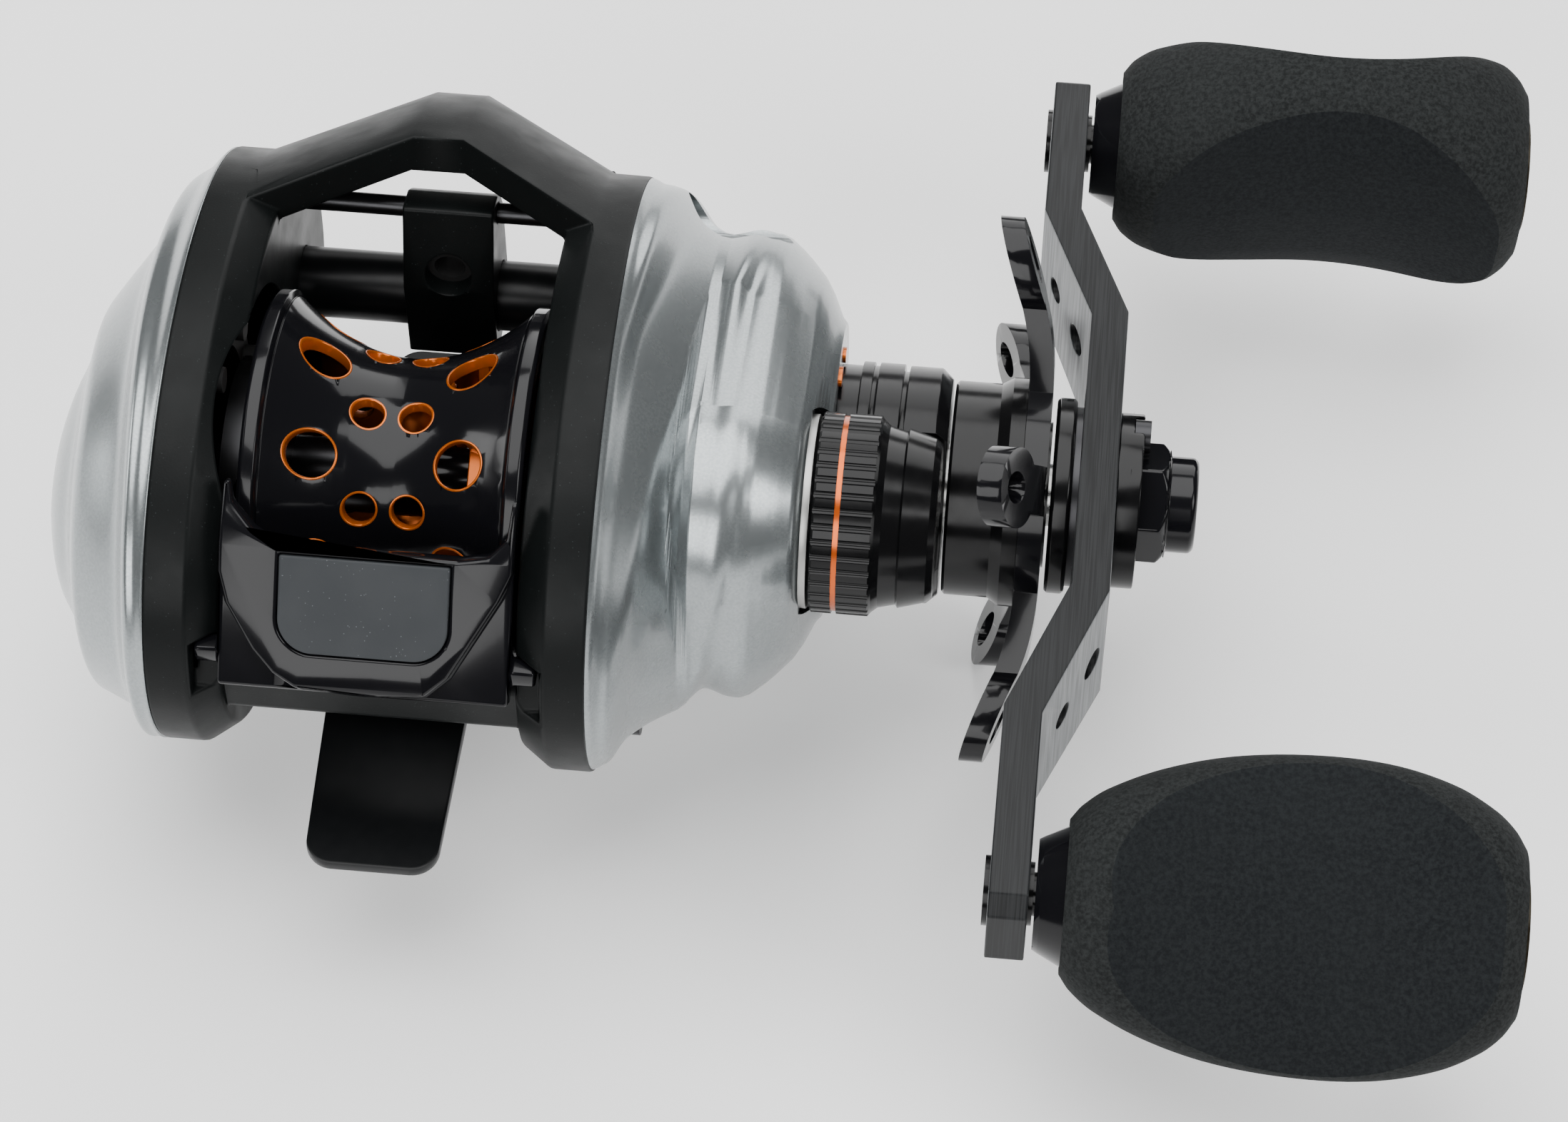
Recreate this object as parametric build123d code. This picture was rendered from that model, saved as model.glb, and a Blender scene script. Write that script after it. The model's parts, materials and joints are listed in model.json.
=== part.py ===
from build123d import *
from math import acos, atan2, cos, degrees, pi, radians, sin, sqrt, tan
import os

# Low-profile baitcasting reel, right-hand wind.  Millimetres.
# Origin: middle of the reel foot's flat underside.  +X: along the spool axis to the handle.
# +Y: forward, the way the line leaves.  +Z: up, away from the rod.

# ---------------------------------------------------------------- axes
spool_y, spool_z = 0.0, 20.5
drive_y = 11.9                    # drive shaft, forward of and below the spool
worm_y = 25.0                     # level-wind shaft
rod_y, rod_z = 26.5, 28.4         # upper guide rod

# ---------------------------------------------------------------- gears
mesh_module, main_teeth, pinion_teeth = 0.44, 60, 12
wind_module, wheel_teeth, worm_teeth = 0.50, 35, 26
pressure_angle = radians(25)
addendum, dedendum = 0.75, 1.0    # in modules
backlash = 0.06

mesh_distance = mesh_module * (main_teeth + pinion_teeth) / 2
wind_distance = wind_module * (wheel_teeth + worm_teeth) / 2
drive_z = spool_z - sqrt(mesh_distance ** 2 - (drive_y - spool_y) ** 2)
worm_z = drive_z + sqrt(wind_distance ** 2 - (worm_y - drive_y) ** 2)
spool_axis, drive_axis, worm_axis = (spool_y, spool_z), (drive_y, drive_z), (worm_y, worm_z)

# ---------------------------------------------------------------- clearances
running = 0.05                    # radial, shaft in bore
seat = 0.02                       # radial, bearing in its seat
side_gap = 0.30                   # beside anything that turns or slides
thread_gap = 0.03                 # radial, screw in its plain hole

# ---------------------------------------------------------------- body outline, in the YZ plane
body_y, body_z = 6.1, 16.5
body_a, body_b = 30.8, 23.0
body_floor = -6.0
rim = 2.4
wall = 2.2
cover_wall = 1.6
chamfer_start, chamfer_drop = 16.2, 2.0

left_seam, left_wall = -20.0, -13.5
right_wall, right_seam = 13.5, 20.0

# the palm plate is a dome whose middle sits back and low of the body's; stations are shares of its depth
palm_dome, palm_back, palm_low = 14.0, 4.0, 3.0
palm_stations = (0, 0.1, 0.25, 0.45, 0.65, 0.8, 0.93)
palm_face = left_seam - palm_dome * palm_stations[-1]

# hood over the line guide: x, forward bulge, then the two ellipse angles it spans
hood_rear_thick, hood_thick, hood_inset = 3.6, 2.4, 0.06
hood_stations = ((-16.5, 0.0, 67, 29), (-1.9, 8.8, 66, 31), (3.0, 8.8, 66, 31), (16.5, 0.0, 67, 29))

# plate screws: y, z, seat x
screw_spots = ((-10.0, -0.5, 21.8), (30.5, 25.5, 21.8), (31.0, 9.0, 30.0))
screw_r, screw_head_r, screw_head = 1.0, 2.1, 1.3
screw_depth, post_wall = 4.5, 1.3

# ---------------------------------------------------------------- foot
foot_length, foot_width, foot_tip_width = 61.2, 14.3, 12.4
foot_thick, foot_tip_thick = 1.5, 1.2
foot_corner = 2.6
foot_screw_pitch, foot_screw_r, foot_head_r = 17.0, 1.0, 1.9

# ---------------------------------------------------------------- spool
flange_r, flange_thick = 16.9, 1.8
spool_left, spool_right = -12.6, 13.1
arbor_r, arbor_rise, spool_wall = 11.3, 5.0, 1.3
web_x, web_thick, hub_r = 7.0, 1.4, 3.4
small_hole_r, small_hole_x = 1.5, 2.2
large_hole_r, large_hole_x = 2.2, 6.75
holes_round = 8
shaft_r, tip_r = 1.5, 1.15
shaft_left, shaft_right = -18.2, 45.0
bearing_r, bearing_width = 5.0, 4.0
small_bearing_r = 3.6
bore_r = flange_r + 0.4
pin_r, pin_half = 0.55, 2.6

# ---------------------------------------------------------------- handle train, stations along X
drive_shaft_r, drive_end_r = 3.0, 2.5
drive_left = 15.1
wheel_x, wheel_width = 20.6, 1.2
gear_x, gear_width = 22.4, 2.8
drag_r, drag_thick, plate_thick = 8.6, 0.8, 1.0
sleeve_r = 4.2
cover_shoulder, cover_flat, cover_face = 27.5, 33.0, 39.5
gearbox_axis, gearbox_a, gearbox_b = (11.2, 12.5), 24.4, 18.0
cover_stations = ((cover_shoulder, 1.0, 13.0), (cover_flat, 1.0, 12.2), (35.2, 0.92, 11.2),
                  (37.6, 0.80, 9.8), (cover_face, 0.61, 3.0))   # x, share of full size, round over the spool
tip_bearing_x, tip_bearing_width = 34.0, 2.6
clutch_bearing_r, clutch_bearing_x, clutch_bearing_width = 5.2, 37.0, 8.0
cap_r, cap_mid, cap_ring, cap_end = 11.45, 46.0, 49.1, 50.2
star_skirt_r, star_skirt_end, star_hub_start, star_hub_end = 10.3, 56.0, 57.4, 60.0
star_radius, star_sweep, star_thick, star_pad = 27.0, 3.9, 2.3, 7.4
star_arms = 5
star_angle = radians(125.9)
arm_x, arm_thick, arm_drop = 62.8, 3.6, 5.3
arm_reach, arm_end, arm_flat, arm_bend = 45.0, 50.0, 16.0, 29.5
arm_hub_width, arm_tip_width = 16.6, 10.2
nut_x, nut_width, nut_across = 67.8, 3.6, 10.0
shaft_end, shaft_end_r = 73.7, 4.6

# ---------------------------------------------------------------- knobs, stations measured from the arm
knob_end = 105.4
collar_length, collar_small_r, collar_large_r = 4.1, 5.0, 7.1
spindle_r, bush_r = 2.0, 3.5
cap_disc_r, cap_disc_thick = 5.6, 0.9
rear_knob_turn, front_knob_turn = 35.9, 98.0

# ---------------------------------------------------------------- cast control
boss_r, boss_face = 9.2, 37.8
seat_ring_end = 38.5
thread_r, thread_end = 6.0, 43.6
cast_knob_r, cast_rib_end, cast_knob_end = 9.35, 44.5, 50.0
cast_ring_x, cast_ring_width, cast_ring_depth = 41.06, 0.5, 0.4
cast_ribs, cast_rib_depth = 40, 0.45

# ---------------------------------------------------------------- clutch
pinion_collar_r, pinion_left, pinion_right = 3.0, 18.6, 30.0
pinion_slot = 1.5                 # depth that takes the spool pin
pin_x = pinion_left + pin_r + 0.25
yoke_x, yoke_thick, yoke_width, yoke_length = 26.2, 1.1, 5.6, 17.4
groove_r, post_r, post_reach = 1.75, 0.9, 7.4
clutch_travel = 1.8
thumb_travel = 4.0

# ---------------------------------------------------------------- level wind
tube_r, tube_bore = 3.4, 2.7
worm_r = 2.3
guide_left, guide_width = -2.9, 8.7
guide_back, guide_front, guide_low, guide_high = 20.9, 29.4, 13.4, 31.0
rod_r = 1.0
eye_r, eye_outer = 1.5, 2.2
guide_to_palm, guide_to_handle = 10.0, 7.0

# ---------------------------------------------------------------- thumb bar
thumb_axis = (0.0, -0.6, -0.8)
thumb_half = -left_wall - side_gap
thumb_origin, thumb_rise = (-22.0, 26.75), (0.631, 0.776)   # a point on the face, and the way up it
thumb_skin = 1.3                  # depth of the dished face over the slide
thumb_profile = ((12.6, -1.6), (9.0, -0.4), (7.2, 0.0), (-5.6, 0.0), (-6.2, -0.6), (-6.6, -3.6),
                 (-3.0, -3.4), (3.5, -2.3), (8.0, -2.5), (12.6, -2.9))
thumb_dish = ((-13.3, 13.0), (-13.3, 5.0), (-12.4, 1.7), (-9.9, -2.4), (-8.0, -4.5), (-5.8, -5.8), (0, -6.3),
              (5.8, -5.6), (7.8, -3.8), (9.8, -0.3), (12.1, 3.7), (13.3, 6.5), (13.3, 13.0))
thumb_notch = ((-12.7, 13.0), (-12.3, 10.8), (-10.2, 8.6), (-8.0, 7.3), (8.4, 7.2), (11.0, 7.7),
               (12.5, 9.3), (12.8, 13.0))
lug_y, lug_z, lug_half = -21.9, 22.4, 1.0
pad_half, pad_top, pad_bottom, pad_corner = 7.7, 6.6, -2.4, 3.2
pad_thick, pad_proud = 1.6, 0.15

# ---------------------------------------------------------------- brake, palm side
brake_hub_r = bore_r - 0.15
rotor_r, rotor_wall, rotor_length = 10.4, 0.8, 4.0
magnet_r, magnet_count, magnet_ring_r = 1.2, 8, 13.0
dial_r, dial_thick, dial_stem_r = 5.0, 1.7, 1.5
dial_axis = (body_y - palm_back * 0.93, body_z - palm_low * 0.93)
dial_face = palm_face + 0.25
palm_bearing_x = shaft_left + 0.3


# ---------------------------------------------------------------- worked out from the values above
bearing_x = right_wall + 0.8
foot_screw_deep = 1.8
foot_head = 0.7
accent_angles = (radians(74), radians(48))
accent_depth = 0.3
drag_x = gear_x + gear_width / 2
sleeve_start = drag_x + drag_thick + plate_thick
sleeve_stop = 52.2
star_spring_end = 56.0
arm_holes = [(1.5, 19.3), (1.25, 25.4)]
retainer_screw_r = 0.8
retainer_turn = radians(65)
retainer_distance = 7.0
retainer_thick = 1.4
retainer_r = 8.4
knob_x = arm_x - arm_drop + arm_thick + 0.6
grip_x = knob_x + collar_length
post_end = yoke_x + yoke_thick + clutch_travel + 2.4
worm_pitch = 4.3
guide_middle = guide_left + guide_width / 2
eye_z = (worm_z + tube_r + rod_z - rod_r) / 2 + 0.1
pawl_r = 1.0


# ---------------------------------------------------------------- helpers
def rod(radius, start, end, axis=(0, 0)):
    return Pos(start, *axis) * Rot(0, 90, 0) * Cylinder(
        radius, end - start, align=(Align.CENTER, Align.CENTER, Align.MIN))


def tube(outer, inner, start, end, axis=(0, 0)):
    return rod(outer, start, end, axis) - rod(inner, start - 1, end + 1, axis)


def turned(points, axis=(0, 0)):
    """A solid of revolution about X from (x, radius) points."""
    return Pos(0, *axis) * revolve(make_face(Polyline(*points, close=True)), Axis.X)


def slab(outline, start, end):
    """A YZ outline carried along X."""
    return extrude(Plane.YZ.offset(start) * outline, amount=end - start)


def block(low, high):
    size = [b - a for a, b in zip(low, high)]
    middle = [(a + b) / 2 for a, b in zip(low, high)]
    return Pos(*middle) * Box(*size)


def toward(first, second):
    return atan2(second[1] - first[1], second[0] - first[0])


def around(axis, radius, angle):
    return axis[0] + radius * cos(angle), axis[1] + radius * sin(angle)


clutch_line = toward(spool_axis, drive_axis) + pi / 2


def involute(angle):
    return tan(angle) - angle


def gear(teeth, module, start, end, axis, tooth_angle):
    """A spur gear; tooth_angle is where one tooth is centred, from +Y towards +Z."""
    pitch_r = module * teeth / 2
    base_r = pitch_r * cos(pressure_angle)
    radii = [pitch_r - dedendum * module, pitch_r, pitch_r + addendum * module]
    half_pitch = pi / (2 * teeth) - backlash / (2 * pitch_r)

    def half_angle(radius):
        roll = acos(min(1, base_r / radius))
        return half_pitch + involute(pressure_angle) - involute(roll)

    points = []
    for number in range(teeth):
        middle = tooth_angle + 2 * pi * number / teeth
        points += [around((0, 0), r, middle - half_angle(r)) for r in radii]
        points += [around((0, 0), r, middle + half_angle(r)) for r in reversed(radii)]
    return slab(Pos(*axis) * make_face(Polyline(*points, close=True)), start, end)


# ---------------------------------------------------------------- body shells
def body_outline(shrink=0.0):
    outline = Pos(body_y, body_z) * Ellipse(body_a - shrink, body_b - shrink)
    low = body_floor + shrink
    return outline - Pos(body_y, low - body_b) * Rectangle(4 * body_a, 2 * body_b)


def circle(axis, radius):
    return Pos(*axis) * Circle(radius)


def hood_section(x, forward, rear_angle, front_angle):
    """One cross-section of the hood at x, thicker along its rear edge."""
    def point(angle, shrink):
        return (x, body_y + forward + (body_a - shrink) * cos(radians(angle)),
                body_z + (body_b - shrink) * sin(radians(angle)))
    steps = [front_angle + (rear_angle - front_angle) * n / 4 for n in range(5)]
    outer = Spline(*[point(angle, hood_inset) for angle in steps])
    depths = (hood_rear_thick, hood_thick + 0.3, hood_thick, hood_thick, hood_thick)
    inner = Spline(*[point(angle, depth) for angle, depth in zip(reversed(steps), depths)])
    return make_face(outer + Line(outer @ 1, inner @ 0) + inner + Line(inner @ 1, outer @ 0))


def make_hood():
    return loft([hood_section(*station) for station in hood_stations], ruled=True)


def chamfer_ring(side):
    """The wedge taken off a band's inner edge; side is -1 at the palm, 1 at the handle."""
    start, stop = side * chamfer_start, side * right_wall
    kept = loft([Plane.YZ.offset(start) * body_outline(), Plane.YZ.offset(stop) * body_outline(chamfer_drop)],
                ruled=True)
    low, high = sorted((start, stop))
    return slab(body_outline(-1), low, high) - kept


def make_deck():
    """The trough under the spool, with the pad that the foot is screwed to."""
    inner, outer = flange_r + 1.0, flange_r + 2.6
    ring = circle(spool_axis, outer) - circle(spool_axis, inner)
    ring = ring & Pos(2.25, 0) * Rectangle(33.5, 26)
    pad = Pos(0, spool_z / 2) * Rectangle(foot_screw_pitch + 6, spool_z)
    pad = pad - circle(spool_axis, inner) - Pos(0, foot_thick - body_a) * Rectangle(99, 2 * body_a)
    trough = slab(ring, left_wall - 0.1, right_wall + 0.1)
    trough = trough - block((-99, -99, -9), (99, 99, foot_thick))
    return trough + slab(pad, -foot_width / 2, foot_width / 2)


def make_crossbar():
    inner = flange_r + 1.0
    bar = Pos(-19.9, 16.1) * RectangleRounded(4.2, 7.0, 1.2) - circle(spool_axis, inner)
    return slab(bar, left_wall - 0.1, right_wall + 0.1)


def make_frame():
    band = body_outline() - body_outline(rim)
    left = slab(band, left_seam, left_wall)
    left = left + slab(body_outline(), left_wall - wall, left_wall)
    collar = slab(circle(spool_axis, bore_r + 1.4) & body_outline(), left_seam, left_wall)
    left = left + collar - rod(bore_r, left_seam - 1, left_wall + 1, spool_axis)
    right = slab(band, right_wall, right_seam) + slab(body_outline(), right_wall, right_wall + wall)
    right = right + rod(bearing_r + 1.4, right_wall, bearing_x + bearing_width, spool_axis)
    right = right + rod(drive_end_r + 3.4, right_wall, drive_left + 3.4, drive_axis)
    right = right + rod(tube_r + 1.6, right_wall, right_seam - 0.8, worm_axis)
    left = left + rod(tube_r + 1.6, left_wall - 4.5, left_wall, worm_axis)
    for y, z, _ in screw_spots:
        right = right + rod(screw_r + post_wall, right_wall, right_seam, (y, z))
    shell = left + right - chamfer_ring(-1) - chamfer_ring(1)
    shell = shell + make_hood() + make_deck() + make_crossbar()
    holes = rod(bearing_r + seat, bearing_x, bearing_x + 9, spool_axis)
    holes = holes + rod(shaft_r + 1.2, right_wall - 1, right_seam, spool_axis)
    holes = holes + rod(drive_end_r + 2 + seat, drive_left, drive_left + 9, drive_axis)
    holes = holes + rod(tube_r + seat, left_wall - 3.5, right_wall + 3.5, worm_axis)
    holes = holes + rod(worm_r + 0.5, left_wall - 4, right_seam + 1, worm_axis)
    holes = holes + rod(rod_r + thread_gap, left_wall - 1.6, right_wall + 1.6, (rod_y, rod_z))
    for side in (-1, 1):
        spot = around(spool_axis, side * post_reach, clutch_line)
        holes = holes + rod(post_r + thread_gap, right_wall + 0.6, right_seam, spot)
        holes = holes + Pos(0, side * foot_screw_pitch / 2, 0) * Cylinder(
            foot_screw_r + thread_gap, 2 * (foot_thick + foot_screw_deep))
    for y, z, _ in screw_spots:
        holes = holes + rod(screw_r + thread_gap, right_seam - screw_depth - 0.2, right_seam + 1, (y, z))
    return shell - holes - thumb_slots()


def make_foot():
    half = foot_length / 2
    outline = Polyline((-foot_tip_width / 2, -half), (foot_tip_width / 2, -half), (foot_width / 2, 0),
                       (foot_tip_width / 2, half), (-foot_tip_width / 2, half), (-foot_width / 2, 0),
                       close=True)
    plate = make_face(outline)
    corners = [v for v in plate.vertices() if abs(v.Y) > half - 0.1]
    plate = fillet(corners, foot_corner)
    solid = extrude(plate, amount=foot_thick)
    step = foot_thick - foot_tip_thick
    for side in (-1, 1):
        taper = make_face(Polyline((side * (foot_screw_pitch / 2 + 4), foot_thick + 0.01),
                                   (side * (half + 1), foot_thick - step),
                                   (side * (half + 1), foot_thick + 0.01), close=True))
        solid = solid - slab(taper, -foot_width, foot_width)
        hole = Cylinder(foot_screw_r + thread_gap, 2 * foot_thick + 1)
        sink = Pos(0, 0, foot_head / 2) * Cylinder(foot_head_r + thread_gap, foot_head)
        solid = solid - Pos(0, side * foot_screw_pitch / 2, 0) * (hole + sink)
    return solid


def make_foot_screws():
    screws = []
    for side in (-1, 1):
        up = (Align.CENTER, Align.CENTER, Align.MIN)
        screw = Cylinder(foot_head_r, foot_head, align=up)
        screw = screw + Cylinder(foot_screw_r, foot_thick + foot_screw_deep - 0.4, align=up)
        screws.append(Pos(0, side * foot_screw_pitch / 2, 0) * screw)
    return Compound(children=[s.solid() for s in screws])


def palm_form(shrink, stations):
    """The dome, or its hollow when shrink is the wall: ellipses that shrink and drift back and down."""
    sections = []
    for share in stations:
        size = (1 - share ** 1.3) ** (1 / 1.7)
        plane = Plane.YZ.offset(left_seam - palm_dome * share)
        middle = Pos(body_y - palm_back * share, body_z - palm_low * share)
        sections.append(plane * middle * Ellipse(body_a * size - shrink, body_b * size - shrink))
    return loft(sections, ruled=True)


def make_palm_plate():
    outer = palm_form(0, palm_stations) & block((-99, -99, body_floor), (left_seam, 99, 99))
    shell = outer - palm_form(cover_wall, palm_stations[:-1])
    foot_wall = slab(body_outline() - body_outline(cover_wall), left_seam - 3, left_seam)
    shell = shell + (foot_wall & outer)
    shell = shell + (rod(dial_stem_r + 1.1, palm_face, left_seam - 7, dial_axis) & outer)
    cup = rod(dial_r + side_gap + 1.3, palm_face, dial_face + dial_thick + 1.3, dial_axis)
    shell = shell + (cup & outer)
    return shell - rod(dial_stem_r + running, -99, left_seam, dial_axis) - dial_recess()


def dial_recess():
    return rod(dial_r + side_gap, -99, dial_face + dial_thick, dial_axis)


def make_brake_dial():
    back = dial_face + dial_thick - side_gap * 0.5
    dial = rod(dial_r, back - dial_thick, back, dial_axis)
    for number in range(18):
        spot = around(dial_axis, dial_r, 2 * pi * number / 18)
        dial = dial - rod(0.55, back - dial_thick - 1, back + 1, spot)
    return dial + rod(dial_stem_r, back - 0.1, left_seam - 4.6, dial_axis)


def make_brake_housing():
    """The disc behind the palm plate that closes the bore and holds the spool bearing."""
    face = left_seam
    disc = rod(brake_hub_r, face, face + 1.5, spool_axis)
    disc = disc + rod(bearing_r + 1.2, face, palm_bearing_x + bearing_width, spool_axis)
    disc = disc - rod(bearing_r + seat, palm_bearing_x, palm_bearing_x + 9, spool_axis)
    return disc - rod(shaft_r + 1.2, face + 1.2, 0, spool_axis)


def make_magnets():
    face = left_seam + 1.5
    spots = [around(spool_axis, magnet_ring_r, 2 * pi * n / magnet_count) for n in range(magnet_count)]
    ring = tube(magnet_ring_r + 1.7, magnet_ring_r - 1.7, face, face + 1.4, spool_axis)
    for spot in spots:
        ring = ring + rod(magnet_r, face + 1.3, face + 3.0, spot)
    return ring


def make_bearing(start, width, outer, inner, axis):
    """A shielded ball bearing as one ring with a shallow groove on each face."""
    middle, depth = (outer + inner) / 2, width * 0.12
    ring = tube(outer, inner, start, start + width, axis)
    groove = (outer - inner) * 0.28
    for x0, x1 in ((start - 1, start + depth), (start + width - depth, start + width + 1)):
        ring = ring - tube(middle + groove, middle - groove, x0, x1, axis)
    return ring


# ---------------------------------------------------------------- handle side
def joined_round(x, middle, a, b, boss):
    """An ellipse joined by straight runs to a round of radius boss over the spool shaft, at x."""
    points = []
    for number in range(48):
        across, up = around((0, 0), 1, 2 * pi * number / 48)
        reach = sqrt((a * across) ** 2 + (b * up) ** 2)
        oval = (middle[0] + a * a * across / reach, middle[1] + b * b * up / reach)
        lobe = (spool_y + boss * across, spool_z + boss * up)
        if middle[0] * across + middle[1] * up + reach < lobe[0] * across + lobe[1] * up:
            oval = lobe
        points.append((x, *oval))
    return make_face(Spline(*points, periodic=True))


def cover_form(shrink):
    """The gearbox side, or its hollow when shrink is the wall."""
    sections = [joined_round(right_seam, (body_y, body_z), body_a - shrink, body_b - shrink, 1)]
    stations = cover_stations[:-1] if shrink else cover_stations
    for x, size, boss in stations:
        sections.append(joined_round(x, gearbox_axis, gearbox_a * size - shrink,
                                     gearbox_b * size - shrink, boss - shrink))
    form = loft(sections, ruled=True)
    return form - block((-99, -99, -99), (99, 99, body_floor + shrink))


def make_handle_plate():
    outer = cover_form(0)
    outer = outer + rod(boss_r, cover_shoulder, boss_face, spool_axis)
    outer = outer + rod(thread_r, boss_face - 1, thread_end, spool_axis)
    outer = outer + (rod(cap_r, 34, cover_face, drive_axis) - rod(cast_knob_r, boss_face, 99, spool_axis))
    inner = cover_form(cover_wall)
    inner = inner + rod(boss_r - cover_wall - 1, cover_shoulder - 1, tip_bearing_x - 1.2, spool_axis)
    inner = inner - rod(boss_r, tip_bearing_x - 1.2, 99, spool_axis)
    inner = inner & block((right_seam, -99, -99), (cover_face - cover_wall, 99, 99))
    plate = outer - inner
    for y, z, head_x in screw_spots:
        post = rod(screw_head_r + 1.0, right_seam, head_x + 6, (y, z)) & outer
        plate = plate + post
    seats = rod(small_bearing_r + seat, tip_bearing_x, tip_bearing_x + 3, spool_axis)
    seats = seats + rod(tip_r + 0.8, 30, tip_bearing_x + 1, spool_axis)
    seats = seats + rod(tip_r + 0.8, tip_bearing_x, 99, spool_axis)
    seats = seats + rod(clutch_bearing_r + seat, 30, 99, drive_axis)
    for y, z, head_x in screw_spots:
        seats = seats + rod(screw_r + thread_gap, right_seam - 1, 99, (y, z))
        seats = seats + rod(screw_head_r + thread_gap, head_x, 99, (y, z))
    knob_room = rod(cast_knob_r + side_gap, boss_face, 99, spool_axis) - rod(thread_r, 0, 99, spool_axis)
    plate = plate - seats - cover_floor_pocket() - knob_room
    for oval in make_accents():
        plate = plate - oval
    return plate


def cover_floor_pocket():
    """Room beside the post of the front screw for the level-wind wheel."""
    reach = wind_module * (worm_teeth / 2 + addendum) + side_gap
    return rod(reach, right_seam - 0.5, wheel_x + wheel_width + side_gap, worm_axis)


def make_plate_screws():
    screws = []
    for y, z, head_x in screw_spots:
        screw = rod(screw_r, right_seam - screw_depth, head_x + 0.1, (y, z))
        screw = screw + rod(screw_head_r, head_x, head_x + screw_head, (y, z))
        slot = Pos(head_x + screw_head, y, z) * Rot(40, 0, 0) * Box(0.9, 9, 0.6)
        screws.append(screw - slot)
    return Compound(children=[s.solid() for s in screws])


def knob_clearance(grow=side_gap):
    return rod(cast_knob_r + grow, boss_face, cast_knob_end + side_gap, spool_axis)


def make_bearing_cap():
    """The black sleeve round the one-way bearing, scalloped where the cast control turns."""
    groove, depth = 0.5, 0.35
    inner = clutch_bearing_r + seat
    points = [(cover_face, inner), (cover_face, cap_r - 0.4), (cover_face + 2, cap_r - 0.4),
              (cover_face + 2, cap_r), (cap_mid - 3.4, cap_r), (cap_mid - 3.4, cap_r - depth),
              (cap_mid - 3.4 + groove, cap_r - depth), (cap_mid - 3.4 + groove, cap_r),
              (cap_mid - groove, cap_r), (cap_mid - groove, cap_r - 0.7), (cap_mid, cap_r - 0.7),
              (cap_mid, cap_r - 0.1), (cap_ring, cap_r - 0.1), (cap_end, cap_r - 1.1),
              (cap_end, sleeve_r + side_gap), (cap_mid, sleeve_r + side_gap), (cap_mid, inner)]
    return turned(points, drive_axis) - knob_clearance()


def make_accents():
    """Two small ovals let into the dark face round the sleeve."""
    ovals = []
    for angle in accent_angles:
        y, z = around(drive_axis, cap_r + 0.6, angle)
        oval = Pos(y, z) * Rot(0, 0, degrees(angle) + 90) * Ellipse(1.3, 0.75)
        ovals.append(slab(oval, cover_face - accent_depth, cover_face + accent_depth))
    return ovals


def make_cast_seat():
    return tube(boss_r - 0.15, thread_r + thread_gap, boss_face, seat_ring_end, spool_axis)


def make_cast_knob():
    x0 = seat_ring_end + 0.1
    r = cast_knob_r
    points = [(x0, thread_r + running), (x0, r - 0.5), (x0 + 0.4, r), (cast_rib_end - 0.3, r),
              (cast_rib_end, r - 0.4), (cast_rib_end + 0.6, r - 0.9), (cast_rib_end + 2.2, r - 1.3),
              (cast_rib_end + 2.4, r - 1.0), (cast_rib_end + 4.9, r - 1.7), (cast_knob_end, r - 2.2),
              (cast_knob_end, 0), (thread_end + 1.6, 0), (thread_end + 1.6, thread_r + running)]
    knob = turned(points, spool_axis)
    rib = pi * cast_knob_r / cast_ribs * 0.55
    for number in range(cast_ribs):
        spot = around(spool_axis, cast_knob_r + rib * 0.35, 2 * pi * number / cast_ribs)
        knob = knob - rod(rib, x0 - 1, cast_rib_end - 0.2, spot)
    ring_start = cast_ring_x - cast_ring_width / 2
    return knob - tube(99, r - cast_rib_depth - cast_ring_depth, ring_start,
                       ring_start + cast_ring_width, spool_axis)


def make_cast_ring():
    start = cast_ring_x - cast_ring_width / 2
    return tube(cast_knob_r - cast_rib_depth * 0.6, cast_knob_r - cast_rib_depth - cast_ring_depth,
                start, start + cast_ring_width, spool_axis)


# ---------------------------------------------------------------- spool
def arbor_height(x):
    """Radius of the line well at x: a shallow U between the flanges."""
    half = (spool_right - spool_left) / 2 - flange_thick
    middle = (spool_right + spool_left) / 2
    return arbor_r + arbor_rise * ((x - middle) / half) ** 2


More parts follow.
